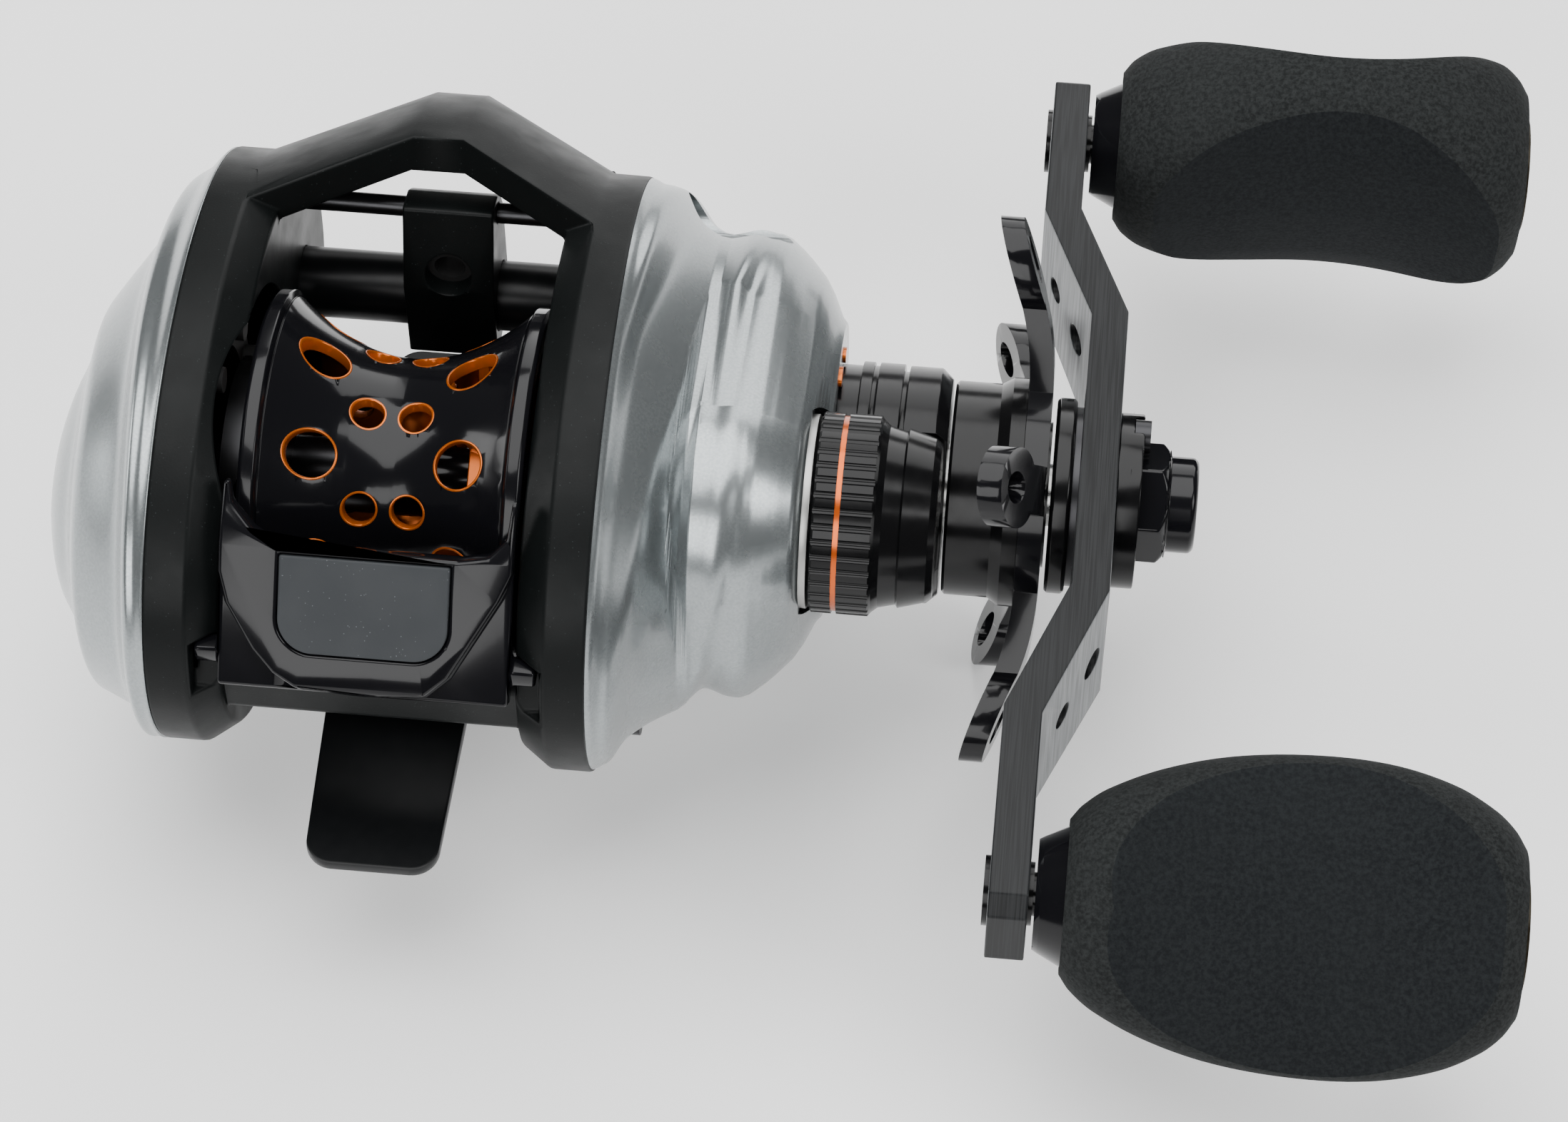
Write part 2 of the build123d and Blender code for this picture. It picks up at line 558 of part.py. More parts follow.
def make_spool():
    left, right = spool_left + flange_thick, spool_right - flange_thick
    stations = [left + (right - left) * n / 8 for n in range(9)]
    top = Spline(*[(x, arbor_height(x)) for x in stations])
    low = Spline(*[(x, arbor_height(x) - spool_wall) for x in reversed(stations)])
    rim_low = arbor_r + arbor_rise - spool_wall
    lip = 0.35
    outline = (Line((spool_left, rim_low), (spool_left, flange_r - lip))
               + Line((spool_left, flange_r - lip), (spool_left + lip, flange_r))
               + Line((spool_left + lip, flange_r), (left - lip, flange_r))
               + Line((left - lip, flange_r), (left, flange_r - 2 * lip))
               + Line((left, flange_r - 2 * lip), top @ 0) + top
               + Line(top @ 1, (right, flange_r - 2 * lip))
               + Line((right, flange_r - 2 * lip), (right + lip, flange_r))
               + Line((right + lip, flange_r), (spool_right - lip, flange_r))
               + Line((spool_right - lip, flange_r), (spool_right, flange_r - lip))
               + Line((spool_right, flange_r - lip), (spool_right, rim_low))
               + Line((spool_right, rim_low), low @ 0) + low
               + Line(low @ 1, (spool_left, rim_low)))
    drum = Pos(0, *spool_axis) * revolve(make_face(outline), Axis.X)
    reach = arbor_height(web_x) - spool_wall / 2
    drum = drum + rod(reach, web_x, web_x + web_thick, spool_axis)
    drum = drum + rod(hub_r, web_x - 5, spool_right - 0.4, spool_axis)
    drum = drum - rod(shaft_r, -99, 99, spool_axis)
    step = 360 / holes_round
    first_row = degrees(star_angle)
    drill = Cylinder(1, flange_r, align=(Align.CENTER, Align.CENTER, Align.MIN))
    for number in range(holes_round):
        for radius, x, turn in ((small_hole_r, small_hole_x, 0), (large_hole_r, large_hole_x, step / 2)):
            angle = first_row + number * step + turn
            hole = scale(drill, by=(radius, radius, 1))
            hole = Rot(angle - 90, 0, 0) * Pos(0, 0, arbor_r - 3.5) * hole
            drum = drum - Pos(x, *spool_axis) * hole - Pos(-x, *spool_axis) * hole
    return drum


def make_spool_shaft():
    step = pin_x + pin_r + 0.3
    shaft = turned([(shaft_left, 0), (shaft_left, shaft_r), (step, shaft_r), (step, tip_r),
                    (shaft_right - 0.3, tip_r), (shaft_right, tip_r - 0.4), (shaft_right, 0)], spool_axis)
    return shaft - Pos(pin_x, *spool_axis) * Cylinder(pin_r, 4 * shaft_r)


def make_spool_pin():
    return Pos(pin_x, *spool_axis) * Cylinder(pin_r, 2 * pin_half)


def make_brake_rotor():
    """Thin conductor cup on the palm side of the spool, carried on the shaft."""
    start = spool_left - rotor_length + 1.2
    ring = tube(rotor_r, rotor_r - rotor_wall, start, spool_left + 2.6, spool_axis)
    web = rod(rotor_r - 0.1, spool_left + 1.6, spool_left + 2.6, spool_axis)
    hub = rod(hub_r, spool_left + 1.6, web_x - 5, spool_axis)
    return ring + web + hub - rod(shaft_r, -99, 99, spool_axis)


# ---------------------------------------------------------------- handle train
def make_drive_shaft():
    shoulder = drive_left + 3.6
    return turned([(drive_left, 0), (drive_left, drive_end_r), (shoulder, drive_end_r),
                   (shoulder, drive_shaft_r), (shaft_end, drive_shaft_r), (shaft_end, 0)], drive_axis)


def make_wheel():
    wheel = gear(wheel_teeth, wind_module, wheel_x, wheel_x + wheel_width, drive_axis,
                 toward(drive_axis, worm_axis))
    wheel = wheel + rod(drive_shaft_r + 2, drive_left + 3.8, wheel_x + 0.1, drive_axis)
    for number in range(5):
        spot = around(drive_axis, 6.4, 2 * pi * number / 5)
        wheel = wheel - rod(1.3, wheel_x - 1, wheel_x + 3, spot)
    return wheel - rod(drive_shaft_r, 0, 99, drive_axis)


def make_main_gear():
    disc = gear(main_teeth, mesh_module, gear_x, gear_x + gear_width, drive_axis,
                toward(drive_axis, spool_axis))
    disc = disc - rod(drag_r + 0.15, gear_x + gear_width / 2, 99, drive_axis)
    return disc - rod(drive_shaft_r + running, 0, 99, drive_axis)


def make_drag_washers():
    front = tube(drag_r, drive_shaft_r + 0.2, drag_x, drag_x + drag_thick, drive_axis)
    back = tube(drag_r, drive_shaft_r + 0.2, wheel_x + wheel_width, gear_x, drive_axis)
    return Compound(children=[front.solid(), back.solid()])


def make_pressure_plate():
    start = drag_x + drag_thick
    return tube(drag_r - 0.2, drive_shaft_r + 0.1, start, start + plate_thick, drive_axis)


def make_reverse_sleeve():
    body = tube(sleeve_r, drive_shaft_r + 0.1, sleeve_start, sleeve_stop, drive_axis)
    return body + tube(6.4, drive_shaft_r + 0.1, sleeve_start, sleeve_start + 1.2, drive_axis)


def make_clutch_bearing():
    outer = tube(clutch_bearing_r, sleeve_r + 0.35, clutch_bearing_x,
                 clutch_bearing_x + clutch_bearing_width, drive_axis)
    for number in range(8):
        spot = around(drive_axis, sleeve_r + 0.35, 2 * pi * number / 8)
        roller = rod(0.3, clutch_bearing_x + 0.6, clutch_bearing_x + clutch_bearing_width - 0.6, spot)
        outer = outer + roller
    return outer - rod(sleeve_r + running, 0, 99, drive_axis)


def make_drag_springs():
    """Four cupped spring washers between the sleeve and the star nut."""
    pieces = []
    width = (star_spring_end - sleeve_stop) / 4
    for number in range(4):
        start = sleeve_stop + number * width
        low, high = (start, start + width * 0.55) if number % 2 == 0 else (start + width * 0.55, start)
        outer, inner, thick = 6.2, drive_shaft_r + 0.2, width * 0.4
        points = [(low, inner), (high, outer), (high + thick, outer), (low + thick, inner)]
        pieces.append(turned(points, drive_axis).solid())
    return Compound(children=pieces)


def make_star_nut():
    """Threaded hub of the drag star with the round skirt that covers the springs."""
    start = cap_end + side_gap
    inner = star_skirt_r - 2.2
    points = [(star_spring_end + 0.1, drive_shaft_r + running), (star_spring_end + 0.1, inner),
              (start, inner), (start, star_skirt_r - 0.3), (start + 0.3, star_skirt_r),
              (star_skirt_end - 1.1, star_skirt_r), (star_skirt_end, star_skirt_r + 0.7),
              (star_hub_start, star_skirt_r + 0.7), (star_hub_start, 7.0), (star_hub_end, 7.0),
              (star_hub_end, drive_shaft_r + running)]
    return turned(points, drive_axis)


def make_star():
    """Five swept arms on a ring; each arm is a curved strip cut to a rounded outline."""
    low = star_hub_start + 0.05
    reach = star_radius
    path = [(8, 0), (11.5, 0), (16, -0.5), (21, -1.9), (reach, -star_sweep)]
    bottom = Spline(*[(r, low + x) for r, x in path])
    top = Spline(*[(r, low + star_thick + x * (1.0 + 0.02 * r / reach)) for r, x in reversed(path)])
    strip = make_face(bottom + Line(bottom @ 1, top @ 0) + top + Line(top @ 1, bottom @ 0))
    strip = Plane(origin=(0, 0, 0), x_dir=(0, 1, 0), z_dir=(0, 0, -1)) * strip
    strip = extrude(strip, amount=star_pad, both=True)
    middle = reach - star_pad * 0.62
    outline = Pos(13, 0) * Rectangle(14, 4.6)
    outline = outline + Pos(middle, 0) * Ellipse(star_pad * 0.62, star_pad / 2)
    outline = outline - Pos(middle + 0.6, 0) * Ellipse(star_pad * 0.30, star_pad * 0.2)
    arm = strip & slab(outline, low - 9, low + 9)
    arm = arm - rod(star_skirt_r + 1, low - 9, low)
    star = tube(11.0, 7.02, low, low + star_thick)
    for number in range(star_arms):
        star = star + Rot(degrees(star_angle) + 360 * number / star_arms, 0, 0) * arm
    return Pos(0, *drive_axis) * star


def make_arm_spacer():
    r = 9.4
    points = [(star_hub_end + 0.25, drive_shaft_r), (star_hub_end + 0.25, r - 0.3),
              (star_hub_end + 0.55, r), (arm_x - 0.9, r), (arm_x - 0.6, r - 0.3),
              (arm_x - 0.6, drive_shaft_r)]
    return turned(points, drive_axis)


def make_arm_washer():
    return tube(8.6, drive_shaft_r, arm_x - 0.6, arm_x, drive_axis)


def arm_outline():
    hub, tip = arm_hub_width / 2, arm_tip_width / 2
    corner = 1.6
    half = [(0, hub), (arm_flat, hub), (arm_bend, hub - 0.9), (arm_end - corner, tip + 0.1),
            (arm_end, tip - corner)]
    right = [(y, z) for y, z in half]
    points = right + [(y, -z) for y, z in reversed(right)]
    points += [(-y, -z) for y, z in right[1:]] + [(-y, z) for y, z in reversed(right[1:])]
    return make_face(Polyline(*points, close=True))


def make_arm():
    turn = atan2(arm_drop, arm_bend - arm_flat)
    shift = arm_thick * tan(turn / 2)
    inside = [(arm_x - arm_drop, arm_end), (arm_x - arm_drop, arm_bend), (arm_x, arm_flat),
              (arm_x, -arm_flat), (arm_x - arm_drop, -arm_bend), (arm_x - arm_drop, -arm_end)]
    tip_x = arm_x - arm_drop + arm_thick
    outside = [(tip_x, -arm_end), (tip_x, -arm_bend - shift), (arm_x + arm_thick, -arm_flat - shift),
               (arm_x + arm_thick, arm_flat + shift), (tip_x, arm_bend + shift), (tip_x, arm_end)]
    side = extrude(make_face(Polyline(*inside, *outside, close=True)), amount=arm_hub_width, both=True)
    arm = side & slab(arm_outline(), arm_x - arm_drop - 1, arm_x + arm_thick + 1)
    arm = arm - rod(drive_shaft_r, 0, 99)
    for side_sign in (-1, 1):
        arm = arm - rod(spindle_r, 0, 99, (side_sign * arm_reach, 0))
        for radius, distance in arm_holes:
            arm = arm - rod(radius, 0, 99, (side_sign * distance, 0))
    for screw in retainer_screw_spot():
        arm = arm - rod(retainer_screw_r, arm_x - 1, 99, (screw[0] - drive_y, screw[1] - drive_z))
    return Pos(0, *drive_axis) * arm


def nut_hexagon(grow):
    """The nut's outline, with one flat towards the retainer screw."""
    turn = degrees(retainer_turn) - 30
    return Pos(*drive_axis) * Rot(0, 0, turn) * RegularPolygon(nut_across / 2 + grow, 6, major_radius=False)


def retainer_screw_spot():
    return [around(drive_axis, retainer_distance, retainer_turn)]


def make_spindles():
    posts = []
    for side in (-1, 1):
        spot = (drive_y + side * arm_reach, drive_z)
        foot_x = arm_x - arm_drop
        post = rod(spindle_r, foot_x, knob_end - 7, spot)
        post = post + rod(spindle_r + 1.2, foot_x - 0.5, foot_x, spot)
        post = post + rod(spindle_r + 0.9, foot_x + arm_thick, foot_x + arm_thick + 0.4, spot)
        posts.append(post.solid())
    return Compound(children=posts)


def make_retainer():
    start = arm_x + arm_thick
    plate = slab(circle(drive_axis, retainer_r), start, start + retainer_thick)
    rim_part = slab(circle(drive_axis, retainer_r) - nut_hexagon(0.1), start + retainer_thick - 0.01,
                    start + retainer_thick + 0.9)
    screw = rod(retainer_screw_r, 0, 99, retainer_screw_spot()[0])
    screw_seat = rod(2.0, start + retainer_thick - 0.01, 99, retainer_screw_spot()[0])
    return plate + rim_part - rod(drive_shaft_r, 0, 99, drive_axis) - screw - screw_seat


def make_retainer_screw():
    start = arm_x + arm_thick + retainer_thick
    spot = retainer_screw_spot()[0]
    head = rod(1.6, start, start + 1.5, spot) + rod(retainer_screw_r, start - 3.2, start + 0.1, spot)
    return head - Pos(start + 1.5, *spot) * Rot(30, 0, 0) * Box(0.9, 9, 0.5)


def make_handle_nut():
    nut = slab(nut_hexagon(0), nut_x, nut_x + nut_width)
    nut = nut & turned([(0, 0), (0, 9), (nut_x + nut_width - 0.9, 6.0), (nut_x + nut_width, 5.0),
                        (nut_x + nut_width, 0)], drive_axis)
    nut = nut + turned([(nut_x + 1, 0), (nut_x + 1, 3.2), (nut_x + nut_width - 0.2, shaft_end_r),
                        (shaft_end + 0.1, shaft_end_r), (shaft_end + 0.5, shaft_end_r - 0.4),
                        (shaft_end + 0.5, 0)], drive_axis)
    return nut - rod(drive_shaft_r, 0, shaft_end, drive_axis)


# ---------------------------------------------------------------- knobs
knob_stations = [(0.0, 7.3, 7.0), (0.10, 9.7, 9.9), (0.30, 12.1, 10.8), (0.53, 13.3, 10.1),
                 (0.75, 12.6, 11.2), (0.88, 10.7, 11.6), (0.96, 9.0, 10.0), (1.0, 7.0, 7.4)]


def make_grip(side, turn):
    """Paddle grip: oval sections, widest at mid-length one way and waisted the other way."""
    length = knob_end - cap_disc_thick * 0.5 - grip_x
    sections = []
    for share, wide, deep in knob_stations:
        plane = Plane.YZ.offset(grip_x + share * length)
        sections.append((plane * Ellipse(wide, deep)).face())
    grip = loft(sections)
    grip = grip - rod(bush_r, 0, knob_end, (0, 0))
    grip = grip - rod(cap_disc_r, knob_end - cap_disc_thick, 999, (0, 0))
    return Pos(0, drive_y + side * arm_reach, drive_z) * Rot(turn, 0, 0) * grip


def make_collar(side):
    axis = (drive_y + side * arm_reach, drive_z)
    points = [(knob_x, spindle_r + running), (knob_x, collar_small_r), (knob_x + 0.5, collar_small_r + 0.3),
              (grip_x, collar_large_r), (grip_x, bush_r), (knob_end - 5.5, bush_r),
              (knob_end - 5.5, spindle_r + running)]
    return turned(points, axis)


def make_knob_cap(side):
    axis = (drive_y + side * arm_reach, drive_z)
    disc = rod(cap_disc_r, knob_end - cap_disc_thick, knob_end, axis)
    stem = rod(bush_r - 0.2, knob_end - 4, knob_end - cap_disc_thick + 0.1, axis)
    return disc + stem


# ---------------------------------------------------------------- clutch
def make_pinion():
    teeth_start = gear_x - clutch_travel - 0.4
    teeth_end = yoke_x - 0.3
    body = gear(pinion_teeth, mesh_module, teeth_start, teeth_end, spool_axis,
                toward(spool_axis, drive_axis) + pi / pinion_teeth)
    body = body + rod(pinion_collar_r, pinion_left, teeth_start + 0.01, spool_axis)
    body = body + rod(groove_r, teeth_end - 0.01, yoke_x + yoke_thick + 0.3, spool_axis)
    body = body + rod(pinion_collar_r - 0.2, yoke_x + yoke_thick + 0.2, pinion_right, spool_axis)
    body = body - rod(tip_r + running, 0, 99, spool_axis)
    body = body - rod(shaft_r + 0.1, 0, pin_x + pin_r + 0.5, spool_axis)
    slot = Pos(pinion_left, *spool_axis) * Box(2 * pinion_slot, 2 * (pin_r + 0.15), 4 * pinion_collar_r)
    return body - slot


def make_yoke():
    plate = Rot(degrees(clutch_line), 0, 0) * slab(
        SlotOverall(yoke_length, yoke_width), yoke_x, yoke_x + yoke_thick)
    plate = Pos(0, *spool_axis) * plate
    plate = plate - rod(groove_r + running, 0, 99, spool_axis)
    for side in (-1, 1):
        spot = around(spool_axis, side * post_reach, clutch_line)
        plate = plate - rod(post_r + running, 0, 99, spot)
    return plate


def make_yoke_posts():
    posts = []
    for side in (-1, 1):
        spot = around(spool_axis, side * post_reach, clutch_line)
        post = rod(post_r, right_wall + 0.6, post_end, spot)
        posts.append((post + rod(post_r + 1.0, post_end, post_end + 0.6, spot)).solid())
    return Compound(children=posts)


def make_yoke_springs():
    """Coil springs at their shortest, between the yoke's far position and the post heads."""
    start = yoke_x + yoke_thick + clutch_travel + 0.1
    length = post_end - start
    coils = []
    for side in (-1, 1):
        spot = around(spool_axis, side * post_reach, clutch_line)
        helix = Helix(pitch=length / 4, height=length - 0.35, radius=post_r + 0.32)
        profile = Plane(helix @ 0, z_dir=helix % 0) * Circle(0.16)
        coil = sweep(profile, path=helix)
        coils.append((Pos(start + 0.18, *spot) * Rot(0, 90, 0) * coil).solid())
    return Compound(children=coils)


# ---------------------------------------------------------------- level wind
def make_worm_tube():
    body = tube(tube_r, tube_bore, left_wall - 3.3, right_wall + 3.3, worm_axis)
    start, stop = guide_middle - guide_to_palm - 1.5, guide_middle + guide_to_handle + 1.5
    return body - block((start, worm_y - 1.2, worm_z - 9), (stop, worm_y + 1.2, worm_z))


def make_worm():
    """Level-wind shaft with left and right grooves crossing along its length."""
    start, stop = left_wall - 3.9, wheel_x + wheel_width + 0.6
    shaft = rod(worm_r, left_wall - 2.3, right_wall + 2.8, worm_axis)
    shaft = shaft + rod(1.5, start, stop, worm_axis)
    cutter = tube(worm_r + 1, worm_r - 0.6, -0.45, 0.45)
    for number in range(-2, 3):
        for tilt in (-30, 30):
            groove = Pos(number * worm_pitch, *worm_axis) * Rot(0, 0, tilt) * cutter
            shaft = shaft - groove
    return shaft


def make_worm_wheel():
    wheel = gear(worm_teeth, wind_module, wheel_x, wheel_x + wheel_width, worm_axis,
                 toward(worm_axis, drive_axis) + pi / worm_teeth)
    return wheel - rod(1.5, 0, 99, worm_axis)


def make_worm_bushes():
    left = tube(tube_bore, 1.5 + running, left_wall - 3.3, left_wall - 2.4, worm_axis)
    right = tube(tube_bore, 1.5 + running, right_wall + 2.9, right_wall + 3.3, worm_axis)
    return Compound(children=[left.solid(), right.solid()])


def make_guide_rod():
    return rod(rod_r, left_wall - 1.6, right_wall + 1.6, (rod_y, rod_z))


def make_line_guide():
    right = guide_left + guide_width
    outline = Polyline((guide_back, guide_low), (guide_front - 0.6, guide_low), (guide_front, guide_low + 3),
                       (guide_front, rod_z - 1.8), (rod_y + 2.0, rod_z + 0.4), (rod_y + 0.5, rod_z + 1.8),
                       (rod_y - 1.9, guide_high), (guide_back + 3.0, guide_high),
                       (guide_back, guide_low + 9.5), close=True)
    body = slab(make_face(outline), guide_left, right)
    body = body - rod(tube_r + running, -99, 99, worm_axis)
    body = body - rod(rod_r + running, -99, 99, (rod_y, rod_z))
    hole = Pos(guide_middle, worm_y, eye_z) * Rot(90, 0, 0) * Cylinder(eye_outer, 40)
    pawl_hole = Pos(guide_middle, worm_y, guide_low) * Cylinder(pawl_r + thread_gap, 9)
    return body - hole - pawl_hole


def make_line_eye():
    length = guide_front - guide_back - 1.6
    middle = (guide_front + guide_back) / 2 + 1.0
    ring = Cylinder(eye_outer, length) - Cylinder(eye_r, length + 2)
    return Pos(guide_middle, middle, eye_z) * Rot(90, 0, 0) * ring


def make_pawl():
    """Pin below the guide whose tip reaches through the tube's slot to the worm."""
    top = worm_z - worm_r - 0.12
    low = guide_low - 0.2
    up = (Align.CENTER, Align.CENTER, Align.MIN)
    pin = Pos(0, 0, low) * Cylinder(pawl_r, top - low, align=up)
    cap = Pos(0, 0, low - 1.0) * Cylinder(pawl_r + 1.1, 1.2, align=up)
    return Pos(guide_middle, worm_y, 0) * (pin + cap)


# ---------------------------------------------------------------- thumb bar
def thumb_point(along, out):
    """(y, z) of a point on the thumb bar, measured up its face and out from it."""
    return (thumb_origin[0] + along * thumb_rise[0] - out * thumb_rise[1],
            thumb_origin[1] + along * thumb_rise[1] + out * thumb_rise[0])


def thumb_plane():
    return Plane(origin=(0, *thumb_origin), x_dir=(1, 0, 0), z_dir=(0, -thumb_rise[1], thumb_rise[0]))


def make_thumb_bar():
    """A dished bar on a full-width slide, with a horn up each side and a seat for the pad."""
    profile = make_face(Polyline(*[thumb_point(*p) for p in thumb_profile], close=True))
    bar = slab(profile, -thumb_half, thumb_half)
    around_dish = Rectangle(3 * thumb_half, 4 * pad_top) - make_face(Polyline(*thumb_dish, close=True))
    bar = bar - thumb_plane() * Pos(0, 0, -thumb_skin) * extrude(around_dish, amount=9)
    notch = make_face(Polyline(*thumb_notch, close=True))
    bar = bar - thumb_plane() * extrude(notch, amount=20, both=True)
    for side in (-1, 1):
        low, high = sorted((side * thumb_half, side * (thumb_half + side_gap + wall - 0.2)))
        bar = bar + block((low, lug_y - lug_half, lug_z - lug_half),
                          (high, lug_y + lug_half, lug_z + lug_half))
    return bar - thumb_pad_solid(0.05)


def thumb_slots():
    """Slots in both walls that the thumb bar's lugs slide in."""
    half = lug_half + 0.25
    shift_y, shift_z = thumb_axis[1] * thumb_travel, thumb_axis[2] * thumb_travel
    face = make_face(Polyline(
        (lug_y - half, lug_z + half), (lug_y + half, lug_z + half), (lug_y + half, lug_z - half),
        (lug_y + half + shift_y, lug_z - half + shift_z), (lug_y - half + shift_y, lug_z - half + shift_z),
        (lug_y - half + shift_y, lug_z + half + shift_z), close=True))
    slots = slab(face, left_wall - wall - 0.2, left_wall + 0.2)
    return slots + slab(face, right_wall - 0.2, right_wall + wall + 0.2)


def thumb_pad_solid(grow):
    """The pressed pad, a plate with two round corners let into the bar's face."""
    outline = Pos(0, (pad_top + pad_bottom) / 2) * Rectangle(2 * (pad_half + grow),
                                                             pad_top - pad_bottom + 2 * grow)
    corners = [v for v in outline.vertices() if v.Y < 0]
    outline = fillet(corners, pad_corner)
    return thumb_plane() * Pos(0, 0, pad_proud - pad_thick - grow) * extrude(outline, amount=pad_thick + grow)


def make_thumb_pad():
    return thumb_pad_solid(0.0)


# ---------------------------------------------------------------- all pieces
def make_nodes():
    front, rear = 1, -1
    nodes = {
        "frame": make_frame(),
        "reel_foot": make_foot(),
        "foot_screws": make_foot_screws(),
        "palm_side_plate": make_palm_plate(),
        "brake_housing": make_brake_housing(),
        "brake_magnets": make_magnets(),
        "brake_dial": make_brake_dial(),
        "palm_spool_bearing": make_bearing(palm_bearing_x, bearing_width, bearing_r, shaft_r + running,
                                           spool_axis),
        "handle_side_plate": make_handle_plate(),
        "side_plate_screws": make_plate_screws(),
        "bearing_cap": make_bearing_cap(),
        "spool_bearing": make_bearing(bearing_x, bearing_width, bearing_r, shaft_r + running, spool_axis),
        "shaft_tip_bearing": make_bearing(tip_bearing_x, 2.6, small_bearing_r, tip_r + running, spool_axis),
        "drive_shaft_bearing": make_bearing(drive_left, 3.2, drive_end_r + 2, drive_end_r + running,
                                            drive_axis),
        "one_way_bearing": make_clutch_bearing(),
        "cast_control_seat": make_cast_seat(),
        "cast_control_knob": make_cast_knob(),
        "cast_control_ring": make_cast_ring(),
        "spool": make_spool(),
        "spool_shaft": make_spool_shaft(),
        "spool_pin": make_spool_pin(),
        "brake_rotor": make_brake_rotor(),
        "drive_shaft": make_drive_shaft(),
        "level_wind_drive_gear": make_wheel(),
        "main_gear": make_main_gear(),
        "drag_washers": make_drag_washers(),
        "pressure_plate": make_pressure_plate(),
        "anti_reverse_sleeve": make_reverse_sleeve(),
        "drag_springs": make_drag_springs(),
        "star_nut": make_star_nut(),
        "drag_star": make_star(),
        "arm_spacer": make_arm_spacer(),
        "arm_washer": make_arm_washer(),
        "handle_arm": make_arm(),
        "knob_spindles": make_spindles(),
        "nut_retainer": make_retainer(),
        "retainer_screw": make_retainer_screw(),
        "handle_nut": make_handle_nut(),
        "front_knob_grip": make_grip(front, front_knob_turn),
        "front_knob_collar": make_collar(front),
        "front_knob_cap": make_knob_cap(front),
        "rear_knob_grip": make_grip(rear, rear_knob_turn),
        "rear_knob_collar": make_collar(rear),
        "rear_knob_cap": make_knob_cap(rear),
        "pinion": make_pinion(),
        "clutch_yoke": make_yoke(),
        "yoke_posts": make_yoke_posts(),
        "yoke_springs": make_yoke_springs(),
        "worm_tube": make_worm_tube(),
        "worm_shaft": make_worm(),
        "worm_wheel": make_worm_wheel(),
        "worm_bushes": make_worm_bushes(),
        "guide_rod": make_guide_rod(),
        "line_guide": make_line_guide(),
        "line_eye": make_line_eye(),
        "guide_pawl": make_pawl(),
        "thumb_bar": make_thumb_bar(),
        "thumb_pad": make_thumb_pad(),
    }
    nodes["accent_inserts"] = Compound(children=[oval.solid() for oval in make_accents()])
    return nodes


os.makedirs("parts", exist_ok=True)
for name, shape in make_nodes().items():
    export_step(shape, f"parts/{name}.step")
    print(name, len(shape.solids()), round(shape.volume, 1))
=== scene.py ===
import json
import math
from math import cos, pi, radians, sin, sqrt

import bpy
from mathutils import Matrix, Vector


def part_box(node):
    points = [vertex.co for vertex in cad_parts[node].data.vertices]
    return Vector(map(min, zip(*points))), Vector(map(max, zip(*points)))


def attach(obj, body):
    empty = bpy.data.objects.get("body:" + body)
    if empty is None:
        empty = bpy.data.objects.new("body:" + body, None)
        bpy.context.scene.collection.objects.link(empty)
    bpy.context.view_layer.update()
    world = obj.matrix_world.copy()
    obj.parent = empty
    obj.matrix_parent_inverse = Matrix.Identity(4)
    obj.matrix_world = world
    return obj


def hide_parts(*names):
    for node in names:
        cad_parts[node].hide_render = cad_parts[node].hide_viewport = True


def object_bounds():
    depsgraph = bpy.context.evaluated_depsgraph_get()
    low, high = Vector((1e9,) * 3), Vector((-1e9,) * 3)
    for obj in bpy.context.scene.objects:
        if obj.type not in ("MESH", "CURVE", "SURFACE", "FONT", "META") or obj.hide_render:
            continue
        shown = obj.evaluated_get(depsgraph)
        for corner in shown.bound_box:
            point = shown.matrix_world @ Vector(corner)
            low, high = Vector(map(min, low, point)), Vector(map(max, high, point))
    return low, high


# A low-profile baitcasting reel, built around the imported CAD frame.
# Metres, +X along the spool axis to the handle, +Y the way the line leaves, +Z up.

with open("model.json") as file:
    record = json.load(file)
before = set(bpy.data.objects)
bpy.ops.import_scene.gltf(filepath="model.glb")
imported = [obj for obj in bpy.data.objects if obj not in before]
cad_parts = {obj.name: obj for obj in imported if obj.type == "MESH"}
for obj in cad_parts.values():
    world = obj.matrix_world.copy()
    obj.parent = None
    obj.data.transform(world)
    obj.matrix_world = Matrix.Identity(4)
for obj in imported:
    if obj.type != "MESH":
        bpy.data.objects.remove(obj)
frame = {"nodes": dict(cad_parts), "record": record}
nodes = frame["nodes"]
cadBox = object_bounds()
mm = 0.001
print("frame loaded:", len(nodes), "CAD nodes")

# y and z of the axes that the plates and the spool share, in millimetres
spoolAxis = (0.0, 20.5)
driveAxis = (11.9, 10.046)
dialAxis = (2.38, 13.71)
plateFloor, plateWall = -6.0, 1.6


# camera and lights
view = {
    "target": (0.0357, 0.0002, 0.0120),
    "azimuth": 5.58,        # degrees, from straight behind towards the handle
    "elevation": 54.0,
    "distance": 0.4226,
    "lens": 102.8,
    "sensor": 36.0,
    "clip": (0.01, 20.0),
}


def setCamera(v):
    az, el = radians(v["azimuth"]), radians(v["elevation"])
    back = Vector((sin(az) * cos(el), -cos(az) * cos(el), sin(el)))
    data = bpy.data.cameras.new("camera")
    data.lens = v["lens"]
    data.sensor_width = v["sensor"]
    data.clip_start, data.clip_end = v["clip"]
    camera = bpy.data.objects.new("camera", data)
    camera.location = Vector(v["target"]) + back * v["distance"]
    camera.rotation_euler = back.to_track_quat("Z", "Y").to_euler()
    bpy.context.scene.collection.objects.link(camera)
    bpy.context.scene.camera = camera


